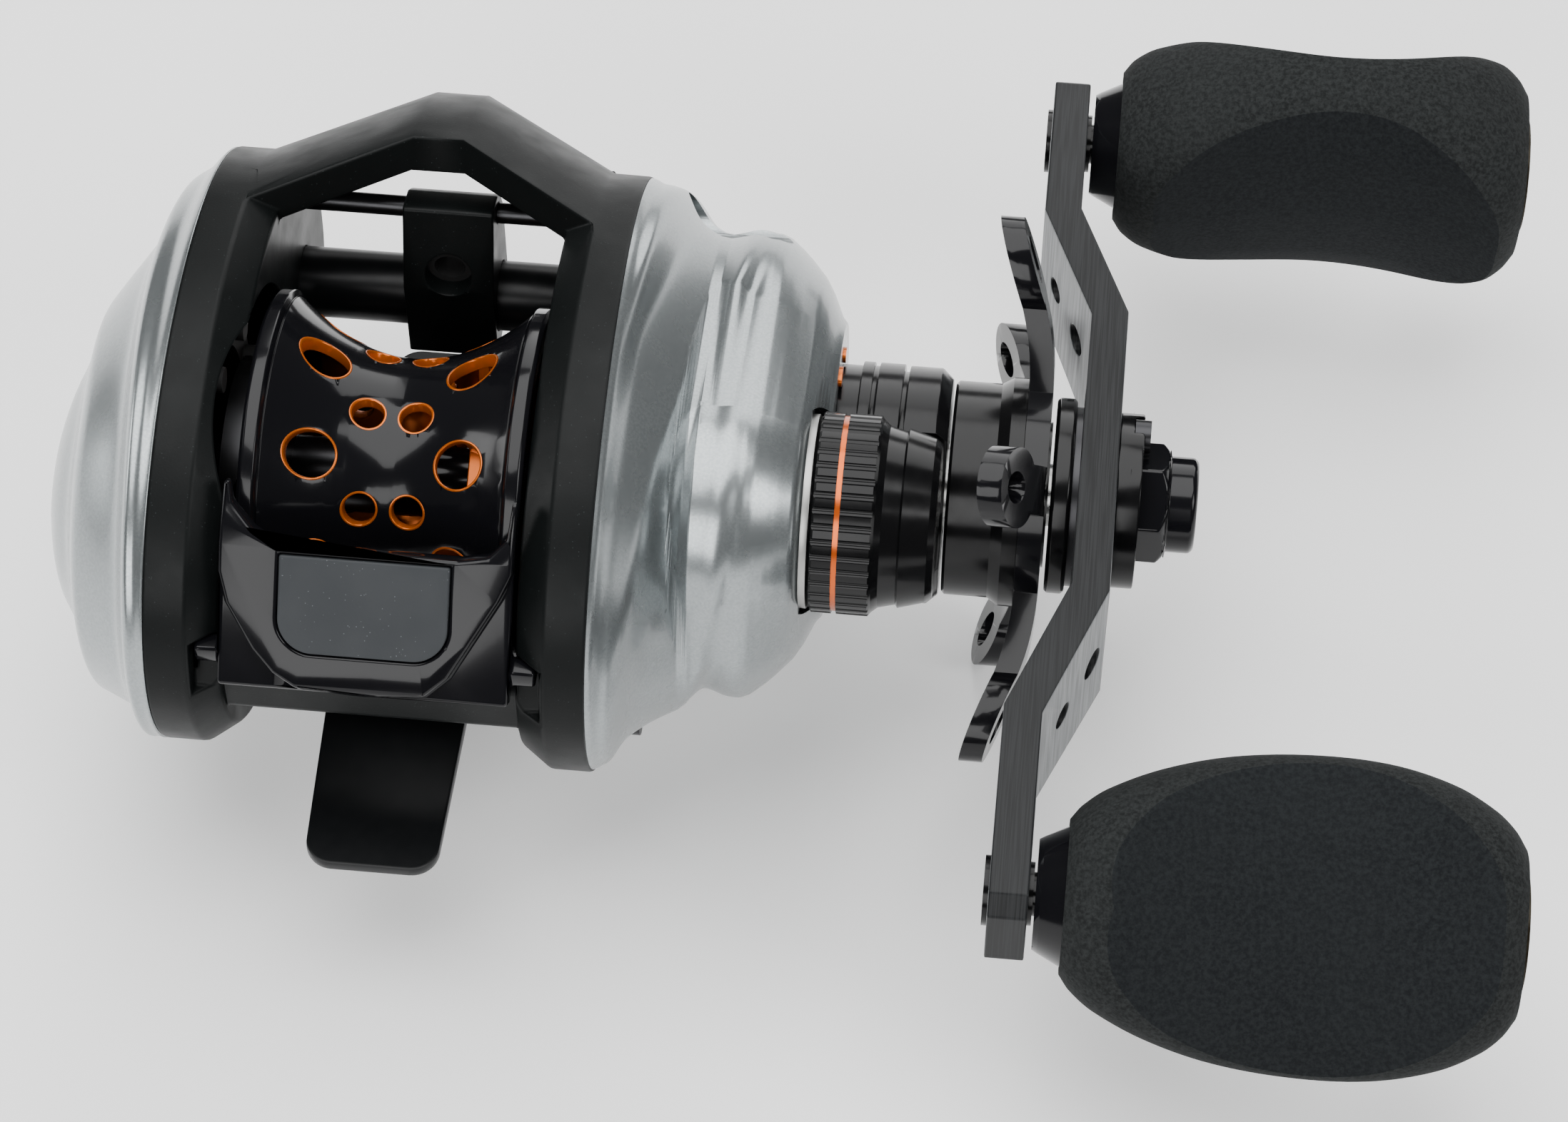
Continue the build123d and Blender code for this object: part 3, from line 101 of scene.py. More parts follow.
lightRig = {
    "world": (1.0, 1.0, 1.0),
    "worldStrength": 0.13,
    # name, place, aim, size in metres, watts
    "lamps": [
        ("overhead", (-0.05, 0.10, 0.75), (0.03, 0.0, 0.0), 0.75, 9.5),
        ("behind", (-0.15, -0.75, 0.45), (0.03, 0.0, 0.01), 0.50, 4.5),
        ("palmSide", (-0.65, 0.05, 0.22), (0.0, 0.0, 0.01), 0.26, 1.3),
        ("handleSide", (0.60, -0.25, 0.55), (0.05, 0.0, 0.01), 0.35, 2.6),
        ("ahead", (0.15, 0.70, 0.40), (0.03, 0.0, 0.01), 0.55, 3.5),
    ],
}


def setLights(rig):
    world = bpy.data.worlds.new("studio")
    world.use_nodes = True
    background = world.node_tree.nodes["Background"]
    background.inputs["Color"].default_value = (*rig["world"], 1)
    background.inputs["Strength"].default_value = rig["worldStrength"]
    bpy.context.scene.world = world
    for name, place, aim, size, watts in rig["lamps"]:
        data = bpy.data.lights.new(name, "AREA")
        data.shape = "SQUARE"
        data.size = size
        data.energy = watts
        lamp = bpy.data.objects.new(name, data)
        lamp.location = place
        lamp.rotation_euler = (Vector(place) - Vector(aim)).to_track_quat("Z", "Y").to_euler()
        bpy.context.scene.collection.objects.link(lamp)


# shader maths as Python expressions
class Wire:
    # an output socket that can be multiplied and compared
    def __init__(self, graph, link):
        self.graph, self.link = graph, link

    def math(self, operation, other):
        return self.graph.node("Math", {"operation": operation}, {0: self, 1: other})

    def __mul__(self, other):
        return self.math("MULTIPLY", other)

    def __gt__(self, other):
        return self.math("GREATER_THAN", other)


class Graph:
    # one material's nodes
    def __init__(self, name):
        self.material = bpy.data.materials.new(name)
        self.material.use_nodes = True
        self.tree = self.material.node_tree
        self.tree.nodes.clear()

    def node(self, kind, settings=None, sockets=None, out=0):
        made = self.tree.nodes.new("ShaderNode" + kind)
        for key, value in (settings or {}).items():
            setattr(made, key, value)
        for key, value in (sockets or {}).items():
            self.feed(made.inputs[key], value)
        return Wire(self, made.outputs[out])

    def feed(self, socket, value):
        if isinstance(value, Wire):
            self.tree.links.new(value.link, socket)
        else:
            socket.default_value = value

    def place(self):
        return self.node("TexCoord", out="Object")

    def noise(self, scale, detail=2.0, roughness=0.5, at=None):
        return self.node("TexNoise", None, {"Vector": at or self.place(), "Scale": scale,
                                            "Detail": detail, "Roughness": roughness})

    def cells(self, scale):
        return self.node("TexVoronoi", {"feature": "F1"}, {"Vector": self.place(), "Scale": scale})

    def ramp(self, value, low, high, first=0.0, last=1.0):
        return self.node("MapRange", {"clamp": True}, {"Value": value, "From Min": low, "From Max": high,
                                                       "To Min": first, "To Max": last})

    def specks(self, scale, size):
        # small spots, one to a cell
        return self.ramp(self.cells(scale), 0.0, size, 1.0, 0.0)

    def uneven(self, noise, rough, spread):
        # a roughness that wanders a little below and above its value
        return self.ramp(noise, 0.3, 0.7, rough - spread[0], rough + spread[1])

    def blendTones(self, factor, first, second):
        return self.node("Mix", {"data_type": "RGBA"}, {0: factor, 6: first, 7: second}, out=2)

    def bump(self, height, distance, strength):
        return self.node("Bump", None, {"Height": height, "Distance": distance, "Strength": strength})

    def finish(self, sockets):
        shader = self.node("BsdfPrincipled", None, sockets)
        target = self.tree.nodes.new("ShaderNodeOutputMaterial")
        self.tree.links.new(shader.link, target.inputs["Surface"])
        return self.material


def tone(r, g, b):
    return (r, g, b, 1.0)


# finishes: scales are counts for each metre, and bump is a height in metres with its strength
paint = {"dark": tone(0.0036, 0.0044, 0.0044), "speck": tone(0.05, 0.06, 0.06), "rough": 0.40, "shine": 0.11}
padPaint = {"dark": tone(0.024, 0.027, 0.030), "speck": tone(0.20, 0.21, 0.23), "rough": 0.6, "shine": 0.3}
paintGrain = {"speckScale": 2600, "speckSize": 0.16, "speckStrength": 0.8,
              "patchScale": 900, "patchOver": 0.55, "roughScale": 240, "spread": (0.05, 0.06),
              "bumpScale": 5200, "bump": (0.00002, 0.35)}


def makeFramePaint(p, grain):
    # dark paint, with pale specks in patches
    g = Graph("framePaint")
    patches = g.noise(grain["patchScale"], 1.0) > grain["patchOver"]
    specks = g.specks(grain["speckScale"], grain["speckSize"]) * patches * grain["speckStrength"]
    return g.finish({"Base Color": g.blendTones(specks, p["dark"], p["speck"]),
                     "Roughness": g.uneven(g.noise(grain["roughScale"], 3.0), p["rough"], grain["spread"]),
                     "Specular IOR Level": p["shine"],
                     "Normal": g.bump(g.noise(grain["bumpScale"], 2.0), *grain["bump"])})


silver = {"base": tone(0.29, 0.313, 0.318), "shade": tone(0.25, 0.272, 0.278), "flakeScale": 3800,
          "rough": 0.27, "roughScale": 300, "spread": (0.01, 0.015), "metallic": 0.82,
          "coat": 0.35, "coatRough": 0.10, "bump": (0.000002, 0.1)}


def makeSilver(p):
    # fine flakes under a clear coat
    g = Graph("silverPlate")
    flakes = g.noise(p["flakeScale"], 1.0)
    return g.finish({"Base Color": g.blendTones(g.ramp(flakes, 0.35, 0.65), p["shade"], p["base"]),
                     "Roughness": g.uneven(g.noise(p["roughScale"], 2.0), p["rough"], p["spread"]),
                     "Metallic": p["metallic"], "Coat Weight": p["coat"], "Coat Roughness": p["coatRough"],
                     "Normal": g.bump(flakes, *p["bump"])})


gloss = {"base": tone(0.004, 0.004, 0.005), "rough": 0.12, "smear": 0.06, "smearScale": 120, "shine": 0.15,
         "coat": 0.16, "coatRough": 0.06, "bumpScale": 900, "bump": (0.00001, 0.15)}


def makeGlossBlack(p):
    g = Graph("glossBlack")
    smears = g.ramp(g.noise(p["smearScale"], 4.0), 0.35, 0.7, p["rough"], p["rough"] + p["smear"])
    return g.finish({"Base Color": p["base"], "Roughness": smears, "Specular IOR Level": p["shine"],
                     "Coat Weight": p["coat"], "Coat Roughness": p["coatRough"],
                     "Normal": g.bump(g.noise(p["bumpScale"], 2.0), *p["bump"])})


scratches = {"scale": 700, "spread": (0.02, 0.03), "shine": 0.2, "bump": (0.000002, 0.15)}


def makeAnodised(name, base, rough, metallic=0.0):
    # fine scratches, the same on dyed black pieces and on bare metal
    g = Graph(name)
    scratch = g.noise(scratches["scale"], 3.0)
    return g.finish({"Base Color": base, "Roughness": g.uneven(scratch, rough, scratches["spread"]),
                     "Metallic": metallic, "Specular IOR Level": scratches["shine"],
                     "Normal": g.bump(scratch, *scratches["bump"])})


foam = {"dark": tone(0.007, 0.008, 0.008), "light": tone(0.020, 0.022, 0.022),
        "speck": tone(0.045, 0.05, 0.05)}
foamGrain = {"scale": 2400, "wearScale": 90, "wear": 0.25, "speckScale": 1500, "speckSize": 0.10,
             "speckStrength": 0.7, "patchScale": 500, "patchOver": 0.58, "rough": 0.9, "shine": 0.12,
             "bump": (0.00008, 0.6)}


def makeFoam(p, grain):
    # open grain with pale specks, lighter in broad patches
    g = Graph("gripFoam")
    pores = g.noise(grain["scale"], 4.0, 0.7)
    wear = g.ramp(g.noise(grain["wearScale"], 3.0, 0.6), 0.35, 0.7) * grain["wear"]
    patches = g.noise(grain["patchScale"], 1.0) > grain["patchOver"]
    specks = g.specks(grain["speckScale"], grain["speckSize"]) * patches * grain["speckStrength"]
    colour = g.blendTones(g.ramp(pores, 0.38, 0.62), p["dark"], p["light"])
    colour = g.blendTones(specks, colour, p["speck"])
    colour = g.blendTones(wear, colour, p["light"])
    return g.finish({"Base Color": colour, "Roughness": grain["rough"], "Specular IOR Level": grain["shine"],
                     "Normal": g.bump(pores, *grain["bump"])})


armTones = {"face": tone(0.12, 0.128, 0.132), "faceLine": tone(0.09, 0.096, 0.10),
            "edge": tone(0.006, 0.0065, 0.007), "edgeLine": tone(0.016, 0.017, 0.018)}
armLines = {"stretch": (12.0, 0.2, 0.2), "scale": 600, "rough": (0.34, 0.44), "shine": 0.15,
            "bump": (0.000006, 0.3)}


def makeArmMetal(name, low, high, metallic):
    # brushed lines that keep to the arm's plane
    g = Graph(name)
    along = g.node("Mapping", {"vector_type": "POINT"}, {"Vector": g.place(), "Scale": armLines["stretch"]})
    lines = g.noise(armLines["scale"], 1.0, 0.5, at=along)
    return g.finish({"Base Color": g.blendTones(g.ramp(lines, 0.40, 0.62), low, high),
                     "Roughness": g.ramp(lines, 0.3, 0.7, *armLines["rough"]), "Metallic": metallic,
                     "Specular IOR Level": armLines["shine"], "Normal": g.bump(lines, *armLines["bump"])})


glow = {"scale": 400, "fade": (0.8, 1.0), "shaded": 0.6, "metallic": 0.55}


def makeGlow(name, base, rough=0.2):
    # a bright dye, a little deeper in places
    g = Graph(name)
    fade = g.ramp(g.noise(glow["scale"], 2.0), 0.3, 0.7, *glow["fade"])
    colour = g.blendTones(fade, tone(*[c * glow["shaded"] for c in base[:3]]), base)
    return g.finish({"Base Color": colour, "Roughness": rough, "Metallic": glow["metallic"]})


slotFinish = {
    "frame_black": lambda: makeFramePaint(paint, paintGrain),
    "foot_black": lambda: makeAnodised("footBlack", tone(0.004, 0.0045, 0.005), 0.32),
    "side_silver": lambda: makeSilver(silver),
    "gloss_black": lambda: makeGlossBlack(gloss),
    "satin_black": lambda: makeAnodised("satinBlack", tone(0.003, 0.003, 0.0033), 0.17),
    "cap_black": lambda: makeAnodised("capBlack", tone(0.0035, 0.0035, 0.004), 0.18),
    "grey_steel": lambda: makeAnodised("greySteel", tone(0.34, 0.34, 0.33), 0.38, metallic=1.0),
    "bright_steel": lambda: makeAnodised("brightSteel", tone(0.72, 0.72, 0.70), 0.22, metallic=1.0),
    "dark_steel": lambda: makeAnodised("darkSteel", tone(0.035, 0.035, 0.037), 0.3, metallic=0.9),
    "shaft_steel": lambda: makeAnodised("shaftSteel", tone(0.55, 0.55, 0.54), 0.25, metallic=1.0),
    "brass": lambda: makeAnodised("brass", tone(0.70, 0.48, 0.18), 0.25, metallic=1.0),
    "orange": lambda: makeGlow("orangeRing", tone(0.62, 0.10, 0.004)),
    "amber": lambda: makeGlow("amber", tone(0.55, 0.11, 0.003)),
    "carbon": lambda: makeAnodised("carbon", tone(0.02, 0.02, 0.021), 0.5, metallic=0.2),
    "arm_grey": lambda: makeArmMetal("armEdge", armTones["edge"], armTones["edgeLine"], 0.0),
    "eva_grip": lambda: makeFoam(foam, foamGrain),
    "pad_grey": lambda: makeFramePaint(padPaint, paintGrain),
    "cap_bronze": lambda: makeAnodised("capBronze", tone(0.022, 0.017, 0.009), 0.3, metallic=0.4),
    "eye_metal": lambda: makeAnodised("eyeMetal", tone(0.05, 0.05, 0.05), 0.2, metallic=0.6),
    "magnet": lambda: makeAnodised("magnetRing", tone(0.06, 0.06, 0.06), 0.5, metallic=0.2),
}

finishes = {slot: make() for slot, make in slotFinish.items()}
for part in frame["record"]["subparts"]:
    holder = nodes[part["node"]]
    holder.data.materials.clear()
    holder.data.materials.append(finishes[part["material_slot"]])
print("finishes made:", len(finishes))

# shared ways of working
slotOf = {part["node"]: part["material_slot"] for part in frame["record"]["subparts"]}
bodyOf = {node: body for body, members in frame["record"]["behaviour"]["bodies"].items() for node in members}


def deselect():
    if bpy.context.object and bpy.context.object.mode != "OBJECT":
        bpy.ops.object.mode_set(mode="OBJECT")
    bpy.ops.object.select_all(action="DESELECT")


def hold(piece):
    deselect()
    piece.select_set(True)
    bpy.context.view_layer.objects.active = piece


def editAll(piece):
    hold(piece)
    bpy.ops.object.mode_set(mode="EDIT")
    bpy.ops.mesh.select_all(action="SELECT")


def applyModifier(piece, kind, **settings):
    hold(piece)
    modifier = piece.modifiers.new(kind.lower(), kind)
    for key, value in settings.items():
        setattr(modifier, key, value)
    bpy.ops.object.modifier_apply(modifier=modifier.name)


def setPlace(piece):
    hold(piece)
    bpy.ops.object.transform_apply(location=True, rotation=True, scale=True)


def standFor(piece, node):
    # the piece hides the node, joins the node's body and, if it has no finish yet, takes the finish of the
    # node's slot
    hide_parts(node)
    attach(piece, bodyOf[node])
    if not any(piece.data.materials):
        piece.data.materials.clear()
        piece.data.materials.append(finishes[slotOf[node]])
    return piece


def meltedCopy(node, name):
    # the node's own shape with its doubles merged and its flat faces made whole
    mesh = nodes[node].data.copy()
    mesh.name = name
    piece = bpy.data.objects.new(name, mesh)
    bpy.context.scene.collection.objects.link(piece)
    editAll(piece)
    bpy.ops.mesh.remove_doubles(threshold=easing["merge"])
    bpy.ops.mesh.dissolve_limited(angle_limit=radians(easing["flat"]))
    bpy.ops.object.mode_set(mode="OBJECT")
    return piece


def shade(piece, angle):
    hold(piece)
    bpy.ops.object.shade_smooth_by_angle(angle=radians(angle))


def roundCorners(piece, width, corner, segments, clamp=False, profile=0.5):
    # eases the edges that turn by more than the corner's angle
    applyModifier(piece, "BEVEL", width=width * mm, segments=segments, limit_method="ANGLE",
                  angle_limit=radians(corner), use_clamp_overlap=clamp, profile=profile)


# edges eased on the pieces whose shape is already right
easing = {
    "merge": 0.000002,      # metres
    "flat": 0.4,            # degrees, like the next two
    "corner": 35,
    "smooth": 32,
    "segments": 2,
    "profile": 0.6,
    "clamped": ["drag_star"],
    # width in millimetres
    "widths": {"frame": 0.30, "reel_foot": 0.30, "line_guide": 0.25, "handle_nut": 0.22, "nut_retainer": 0.18,
               "arm_spacer": 0.12, "drag_star": 0.22, "handle_arm": 0.22, "thumb_pad": 0.25,
               "brake_dial": 0.15, "bearing_cap": 0.10, "cast_control_seat": 0.10},
}
armFace = {"metallic": 0.8, "facing": 0.6}      # bright where the normal's share along X is over this
# pieces shown in another slot's finish
shownAs = {
    "line_guide": "frame_black", "guide_rod": "dark_steel", "arm_washer": "dark_steel",
    "knob_spindles": "satin_black", "brake_rotor": "dark_steel", "spool_shaft": "dark_steel",
    "palm_spool_bearing": "dark_steel",
}


def softened(node, width, corner=easing["corner"]):
    piece = meltedCopy(node, node + "Soft")
    roundCorners(piece, width, corner, easing["segments"], node in easing["clamped"], easing["profile"])
    shade(piece, easing["smooth"])
    applyModifier(piece, "WEIGHTED_NORMAL", keep_sharp=True)
    return standFor(piece, node)


def brightenArm(arm, p):
    arm.data.materials.append(makeArmMetal("armFace", armTones["face"], armTones["faceLine"], p["metallic"]))
    for face in arm.data.polygons:
        face.material_index = int(abs(face.normal.x) > p["facing"])


eased = {node: softened(node, width) for node, width in easing["widths"].items()}
brightenArm(eased["handle_arm"], armFace)
for node, slot in shownAs.items():
    holder = eased.get(node) or nodes[node]
    holder.data.materials.clear()
    holder.data.materials.append(finishes[slot])
print("edges eased on", len(eased), "pieces")


# side plates with flowing ridges
palm = {
    "seam": -20.0, "depth": 14.0, "middle": (6.1, 16.5), "half": (30.8, 23.0),
    "back": 4.0, "low": 3.0,            # how far the dome's top lies back and down
    "fall": 1.3, "swell": 1.7,          # powers of the dome's outline
    "last": 0.93, "bunching": 1.15, "rings": 56, "around": 220,
    "thick": 3.0, "lip": 1.0, "hollowDepth": 0.8, "hollowRings": 14, "hollowAround": 96,
    # the brake dial's room, the cup around it, the post behind it with the hole for its stem
    "dialRoom": 5.3, "dialFloor": -31.07, "cupWall": 1.3, "cupEnd": -29.77, "post": 2.6, "stem": 1.55,
    "outer": -40.0, "inner": -15.0,     # where the cutting rounds end, clear of the plate
    "edge": 0.22, "corner": 50, "segments": 3, "smooth": 40,
}
palmRidge = {"middle": (3.0, 14.0), "seam": palm["seam"], "depth": palm["depth"], "count": 2.3, "twist": 1,
             "height": 2.1, "sink": 0.6}
cover = {
    "start": 20.0, "around": 300, "thick": 2.9, "lip": 1.0, "round": 0.45, "smooth": 40,
    "hollowEnd": 37.6, "hollowEvery": 4, "hollowAround": 120, "smallSides": 48, "tinySides": 32,
    # x, middle, half sizes, round over the spool shaft
    "stations": [(20.0, 6.1, 16.5, 30.8, 23.0, 1.0), (27.5, 11.2, 12.5, 24.4, 18.0, 13.0),
                 (33.0, 11.2, 12.5, 24.4, 18.0, 12.2), (35.2, 11.2, 12.5, 22.4, 16.6, 11.2),
                 (37.6, 11.2, 12.5, 19.5, 14.4, 9.8), (39.5, 11.2, 12.5, 14.9, 11.0, 3.0)],
    # ends of the plate's zones, and the rings in each
    "zones": [(20.0, 0), (26.4, 30), (28.2, 14), (33.6, 24), (39.5, 24)],
    # radius, start and end of the rounds along X
    "knobWall": (9.2, 32.8, 40.0), "knobRoom": (9.65, 37.8, 60.0), "knobSeat": (6.0, 37.5, 43.6),
    "bearingSeat": (3.62, 34.0, 37.0), "shaftHole": (1.95, 30.0, 60.0), "driveHole": (5.22, 30.0, 60.0),
    # y, z and the head's seat of each plate screw, and its rounds
    "screws": [(-10.0, -0.5, 21.8), (30.5, 25.5, 21.8), (31.0, 9.0, 30.0)],
    "screwPost": (3.1, 18.0), "postOver": 6.0, "headRoom": 2.13, "screwHole": (1.03, 19.0), "outer": 60.0,
}
coverRidge = {"middle": (9.0, 15.0), "seam": cover["start"], "depth": 13.0, "count": 1.7, "twist": 3,
              "height": 1.6, "sink": 0.4}
ridgeShape = {
    "climb": 0.72, "power": 1.5, "rounding": 0.02, "steps": (-3, -2, -1, 0, 1, 2, 3),
    # size, waves about the plate, waves inward, start
    "waver": [(0.05, 3, 4, 0), (0.04, 2, 0, 1)],
    "fadeIn": (0.03, 0.16), "fadeOut": (0.72, 0.95),
}


def smoothStep(value, low, high):
    share = min(1.0, max(0.0, (value - low) / (high - low)))
    return share * share * (3 - 2 * share)


def ridge(p, phase):
    # a broad hollow that climbs to a crest and falls off quicker, its crest a little rounded
    def folded(share):
        share %= 1.0
        if share < p["climb"]:
            return (share / p["climb"]) ** p["power"]
        return 1 - smoothStep(share, p["climb"], 1.0)
    return sum(folded(phase + p["rounding"] * step) for step in p["steps"]) / len(p["steps"])


def flowHeight(p, shape, x, y, z):
    # how far the ridges lift the skin at a place
    depth = abs(x - p["seam"]) / p["depth"]
    turn = math.atan2(z - p["middle"][1], y - p["middle"][0])
    wave = sum(size * sin(about * turn + inward * depth + start)
               for size, about, inward, start in shape["waver"])
    phase = p["count"] * depth + p["twist"] * turn / (2 * pi) + wave
    fade = smoothStep(depth, *shape["fadeIn"]) * (1 - smoothStep(depth, *shape["fadeOut"]))
    return p["height"] * fade * (ridge(shape, phase) - p["sink"])


def ringTube(name, xs, around, pointAt):
    # a circle grown along X, then shaped ring by ring, and closed at both ends
    deselect()
    bpy.ops.mesh.primitive_circle_add(vertices=around, radius=mm, fill_type="NOTHING",
                                      location=(xs[0] * mm, 0, 0), rotation=(0, pi / 2, 0))
    piece = bpy.context.object
    piece.name = name
    setPlace(piece)
    editAll(piece)
    for before, after in zip(xs, xs[1:]):
        bpy.ops.mesh.extrude_region_move()
        bpy.ops.transform.translate(value=((after - before) * mm, 0, 0))
    bpy.ops.mesh.select_all(action="SELECT")
    bpy.ops.mesh.fill_holes(sides=0)
    bpy.ops.object.mode_set(mode="OBJECT")
    for vertex in piece.data.vertices:
        x = min(xs, key=lambda known: abs(known - vertex.co.x / mm))
        turn = math.atan2(vertex.co.z, vertex.co.y)
        vertex.co = Vector((x, *pointAt(x, turn))) * mm
    editAll(piece)
    bpy.ops.mesh.normals_make_consistent(inside=False)
    bpy.ops.object.mode_set(mode="OBJECT")
    return piece


def roundBar(radius, start, end, axis, sides=96):
    deselect()
    bpy.ops.mesh.primitive_cylinder_add(vertices=sides, radius=radius * mm, depth=(end - start) * mm,
                                        location=((start + end) / 2 * mm, axis[0] * mm, axis[1] * mm),
                                        rotation=(0, pi / 2, 0))
    bar = bpy.context.object
    setPlace(bar)
    return bar


def carve(piece, cutter, operation="DIFFERENCE"):
    applyModifier(piece, "BOOLEAN", operation=operation, object=cutter, solver="MANIFOLD")
    bpy.data.objects.remove(cutter)


def lifted(flow, x, turn, y, z):
    # a place on a plate's skin with the ridge's height added, and kept above the plates' floor
    height = flowHeight(flow, ridgeShape, x, y, z)
    return y + height * cos(turn), max(plateFloor, z + height * sin(turn))


def palmPoint(p, share, turn, shrink):
    size = (1 - share ** p["fall"]) ** (1 / p["swell"])
    return (p["middle"][0] - p["back"] * share + (p["half"][0] * size - shrink) * cos(turn),
            p["middle"][1] - p["low"] * share + (p["half"][1] * size - shrink) * sin(turn))


def makePalmPlate(p, flow):
    def outside(x, turn):
        return lifted(flow, x, turn, *palmPoint(p, (p["seam"] - x) / p["depth"], turn, 0))

    def hollow(x, turn):
        y, z = palmPoint(p, max(0, (p["seam"] - x) / p["depth"]), turn, p["thick"])
        return y, max(plateFloor + plateWall, z)

    shares = [p["last"] * (n / p["rings"]) ** p["bunching"] for n in range(p["rings"] + 1)]
    depths = [p["depth"] * p["hollowDepth"] * n / p["hollowRings"] for n in range(1, p["hollowRings"] + 1)]
    plate = ringTube("palmPlate", [p["seam"] - p["depth"] * share for share in shares], p["around"], outside)
    room = ringTube("palmHollow", [p["seam"] + p["lip"], p["seam"]] + [p["seam"] - depth for depth in depths],
                    p["hollowAround"], hollow)
    carve(room, roundBar(p["post"], p["outer"], p["inner"], dialAxis))
    carve(room, roundBar(p["dialRoom"] + p["cupWall"], p["outer"], p["cupEnd"], dialAxis))
    carve(plate, room)
    carve(plate, roundBar(p["dialRoom"], p["outer"], p["dialFloor"], dialAxis))
    carve(plate, roundBar(p["stem"], p["outer"], p["inner"], dialAxis))
    roundCorners(plate, p["edge"], p["corner"], p["segments"])
    shade(plate, p["smooth"])
    return standFor(plate, "palm_side_plate")


def coverSizes(p, x):
    # middle, half sizes and round at x, with the corners between stations rounded off
    def straight(at):
        rows = p["stations"]
        at = min(max(at, rows[0][0]), rows[-1][0])
        for first, last in zip(rows, rows[1:]):
            if at <= last[0]:
                share = (at - first[0]) / (last[0] - first[0])
                return [a + share * (b - a) for a, b in zip(first[1:], last[1:])]
    return [(a + b) / 2 for a, b in zip(straight(x - p["round"]), straight(x + p["round"]))]


def coverPoint(p, x, turn, shrink):
    # the farther out of an ellipse and a round over the spool shaft, in the turn's direction
    midY, midZ, wide, tall, lobe = coverSizes(p, x)
    wide, tall, lobe = wide - shrink, tall - shrink, lobe - shrink
    across, up = cos(turn), sin(turn)
    reach = sqrt((wide * across) ** 2 + (tall * up) ** 2)
    spot = (midY + wide * wide * across / reach, midZ + tall * tall * up / reach)
    if midY * across + midZ * up + reach < spoolAxis[0] * across + spoolAxis[1] * up + lobe:
        spot = (spoolAxis[0] + lobe * across, spoolAxis[1] + lobe * up)
    return spot


def makeHandlePlate(p, flow):
    def outside(x, turn):
        return lifted(flow, x, turn, *coverPoint(p, x, turn, 0))

    def hollow(x, turn):
        y, z = coverPoint(p, x, turn, p["thick"])
        return y, max(plateFloor + plateWall, z)

    rings = [p["start"]]
    for (low, _), (high, steps) in zip(p["zones"], p["zones"][1:]):
        rings += [low + (high - low) * (n + 1) / steps for n in range(steps)]
    inner = [x for x in rings[::p["hollowEvery"]] if x < p["hollowEnd"]]
    plate = ringTube("handlePlate", rings, p["around"], outside)
    room = ringTube("coverHollow", [p["start"] - p["lip"]] + inner + [p["hollowEnd"]],
                    p["hollowAround"], hollow)
    carve(room, roundBar(*p["knobWall"], spoolAxis))
    for y, z, headX in p["screws"]:
        carve(room, roundBar(*p["screwPost"], headX + p["postOver"], (y, z), p["smallSides"]))
    carve(plate, room)
    carve(plate, roundBar(*p["knobRoom"], spoolAxis))
    carve(plate, roundBar(*p["knobSeat"], spoolAxis), "UNION")
    carve(plate, roundBar(*p["bearingSeat"], spoolAxis))
    carve(plate, roundBar(*p["shaftHole"], spoolAxis, p["smallSides"]))
    carve(plate, roundBar(*p["driveHole"], driveAxis))
    for y, z, headX in p["screws"]:
        carve(plate, roundBar(p["headRoom"], headX, p["outer"], (y, z), p["smallSides"]))
        carve(plate, roundBar(*p["screwHole"], p["outer"], (y, z), p["tinySides"]))
    shade(plate, p["smooth"])
    return standFor(plate, "handle_side_plate")


palmPlate = makePalmPlate(palm, palmRidge)
handlePlate = makeHandlePlate(cover, coverRidge)
print("side plates ridged:", len(palmPlate.data.polygons), len(handlePlate.data.polygons), "faces")


# spool, with bright rims round the holes
spoolHoles = {
    "axis": spoolAxis, "count": 8,
    "first": 125.9, "turned": 16.0,     # degrees to the first hole, and how far on the spool rests
    "small": (1.5, 2.2), "large": (2.2, 6.75),      # radius, and distance from the middle along X
    "arbor": 11.3, "rise": 5.0, "middle": 0.25, "half": 11.05, "around": 40,
    # out from the hole's wall, up from the arbor
    "rim": [(0.20, -0.03), (0.18, 0.04), (0.08, 0.06), (0.0, 0.02), (-0.05, -0.12), (-0.06, -1.2)],
    "rimTone": tone(0.50, 0.105, 0.003), "rimRough": 0.22, "rimSmooth": 50,
    # the well inside the arbor, which is amber too
    "wellFrom": 4.5, "wellEnds": 0.5, "skin": 1.0,
    "edge": 0.12, "corner": 40,
}


def arborHeight(p, x):
    return p["arbor"] + p["rise"] * ((x - p["middle"]) / p["half"]) ** 2


def makeRim(p, radius, holeX, angle):
    # a turned ring laid over the curved arbor round one hole
    deselect()
    bpy.ops.mesh.primitive_circle_add(vertices=p["around"], radius=mm, fill_type="NOTHING")
    rim = bpy.context.object
    editAll(rim)
    for _ in p["rim"][1:]:
        bpy.ops.mesh.extrude_region_move()
        bpy.ops.transform.translate(value=(0, 0, mm))
    bpy.ops.object.mode_set(mode="OBJECT")
    for vertex in rim.data.vertices:
        out, up = p["rim"][round(vertex.co.z / mm)]
        turn = math.atan2(vertex.co.y, vertex.co.x)
        x = holeX + (radius + out) * cos(turn)
        side = (radius + out) * sin(turn)
        height = sqrt(max(0, arborHeight(p, x) ** 2 - side ** 2)) + up
        y = p["axis"][0] + height * cos(angle) - side * sin(angle)
        z = p["axis"][1] + height * sin(angle) + side * cos(angle)
        vertex.co = Vector((x, y, z)) * mm
    return rim


def turnSpool(piece, p):
    middle = Vector((0, p["axis"][0], p["axis"][1])) * mm
    hold(piece)
    piece.matrix_world = (Matrix.Translation(middle) @ Matrix.Rotation(radians(p["turned"]), 4, "X")
                          @ Matrix.Translation(-middle))
    setPlace(piece)


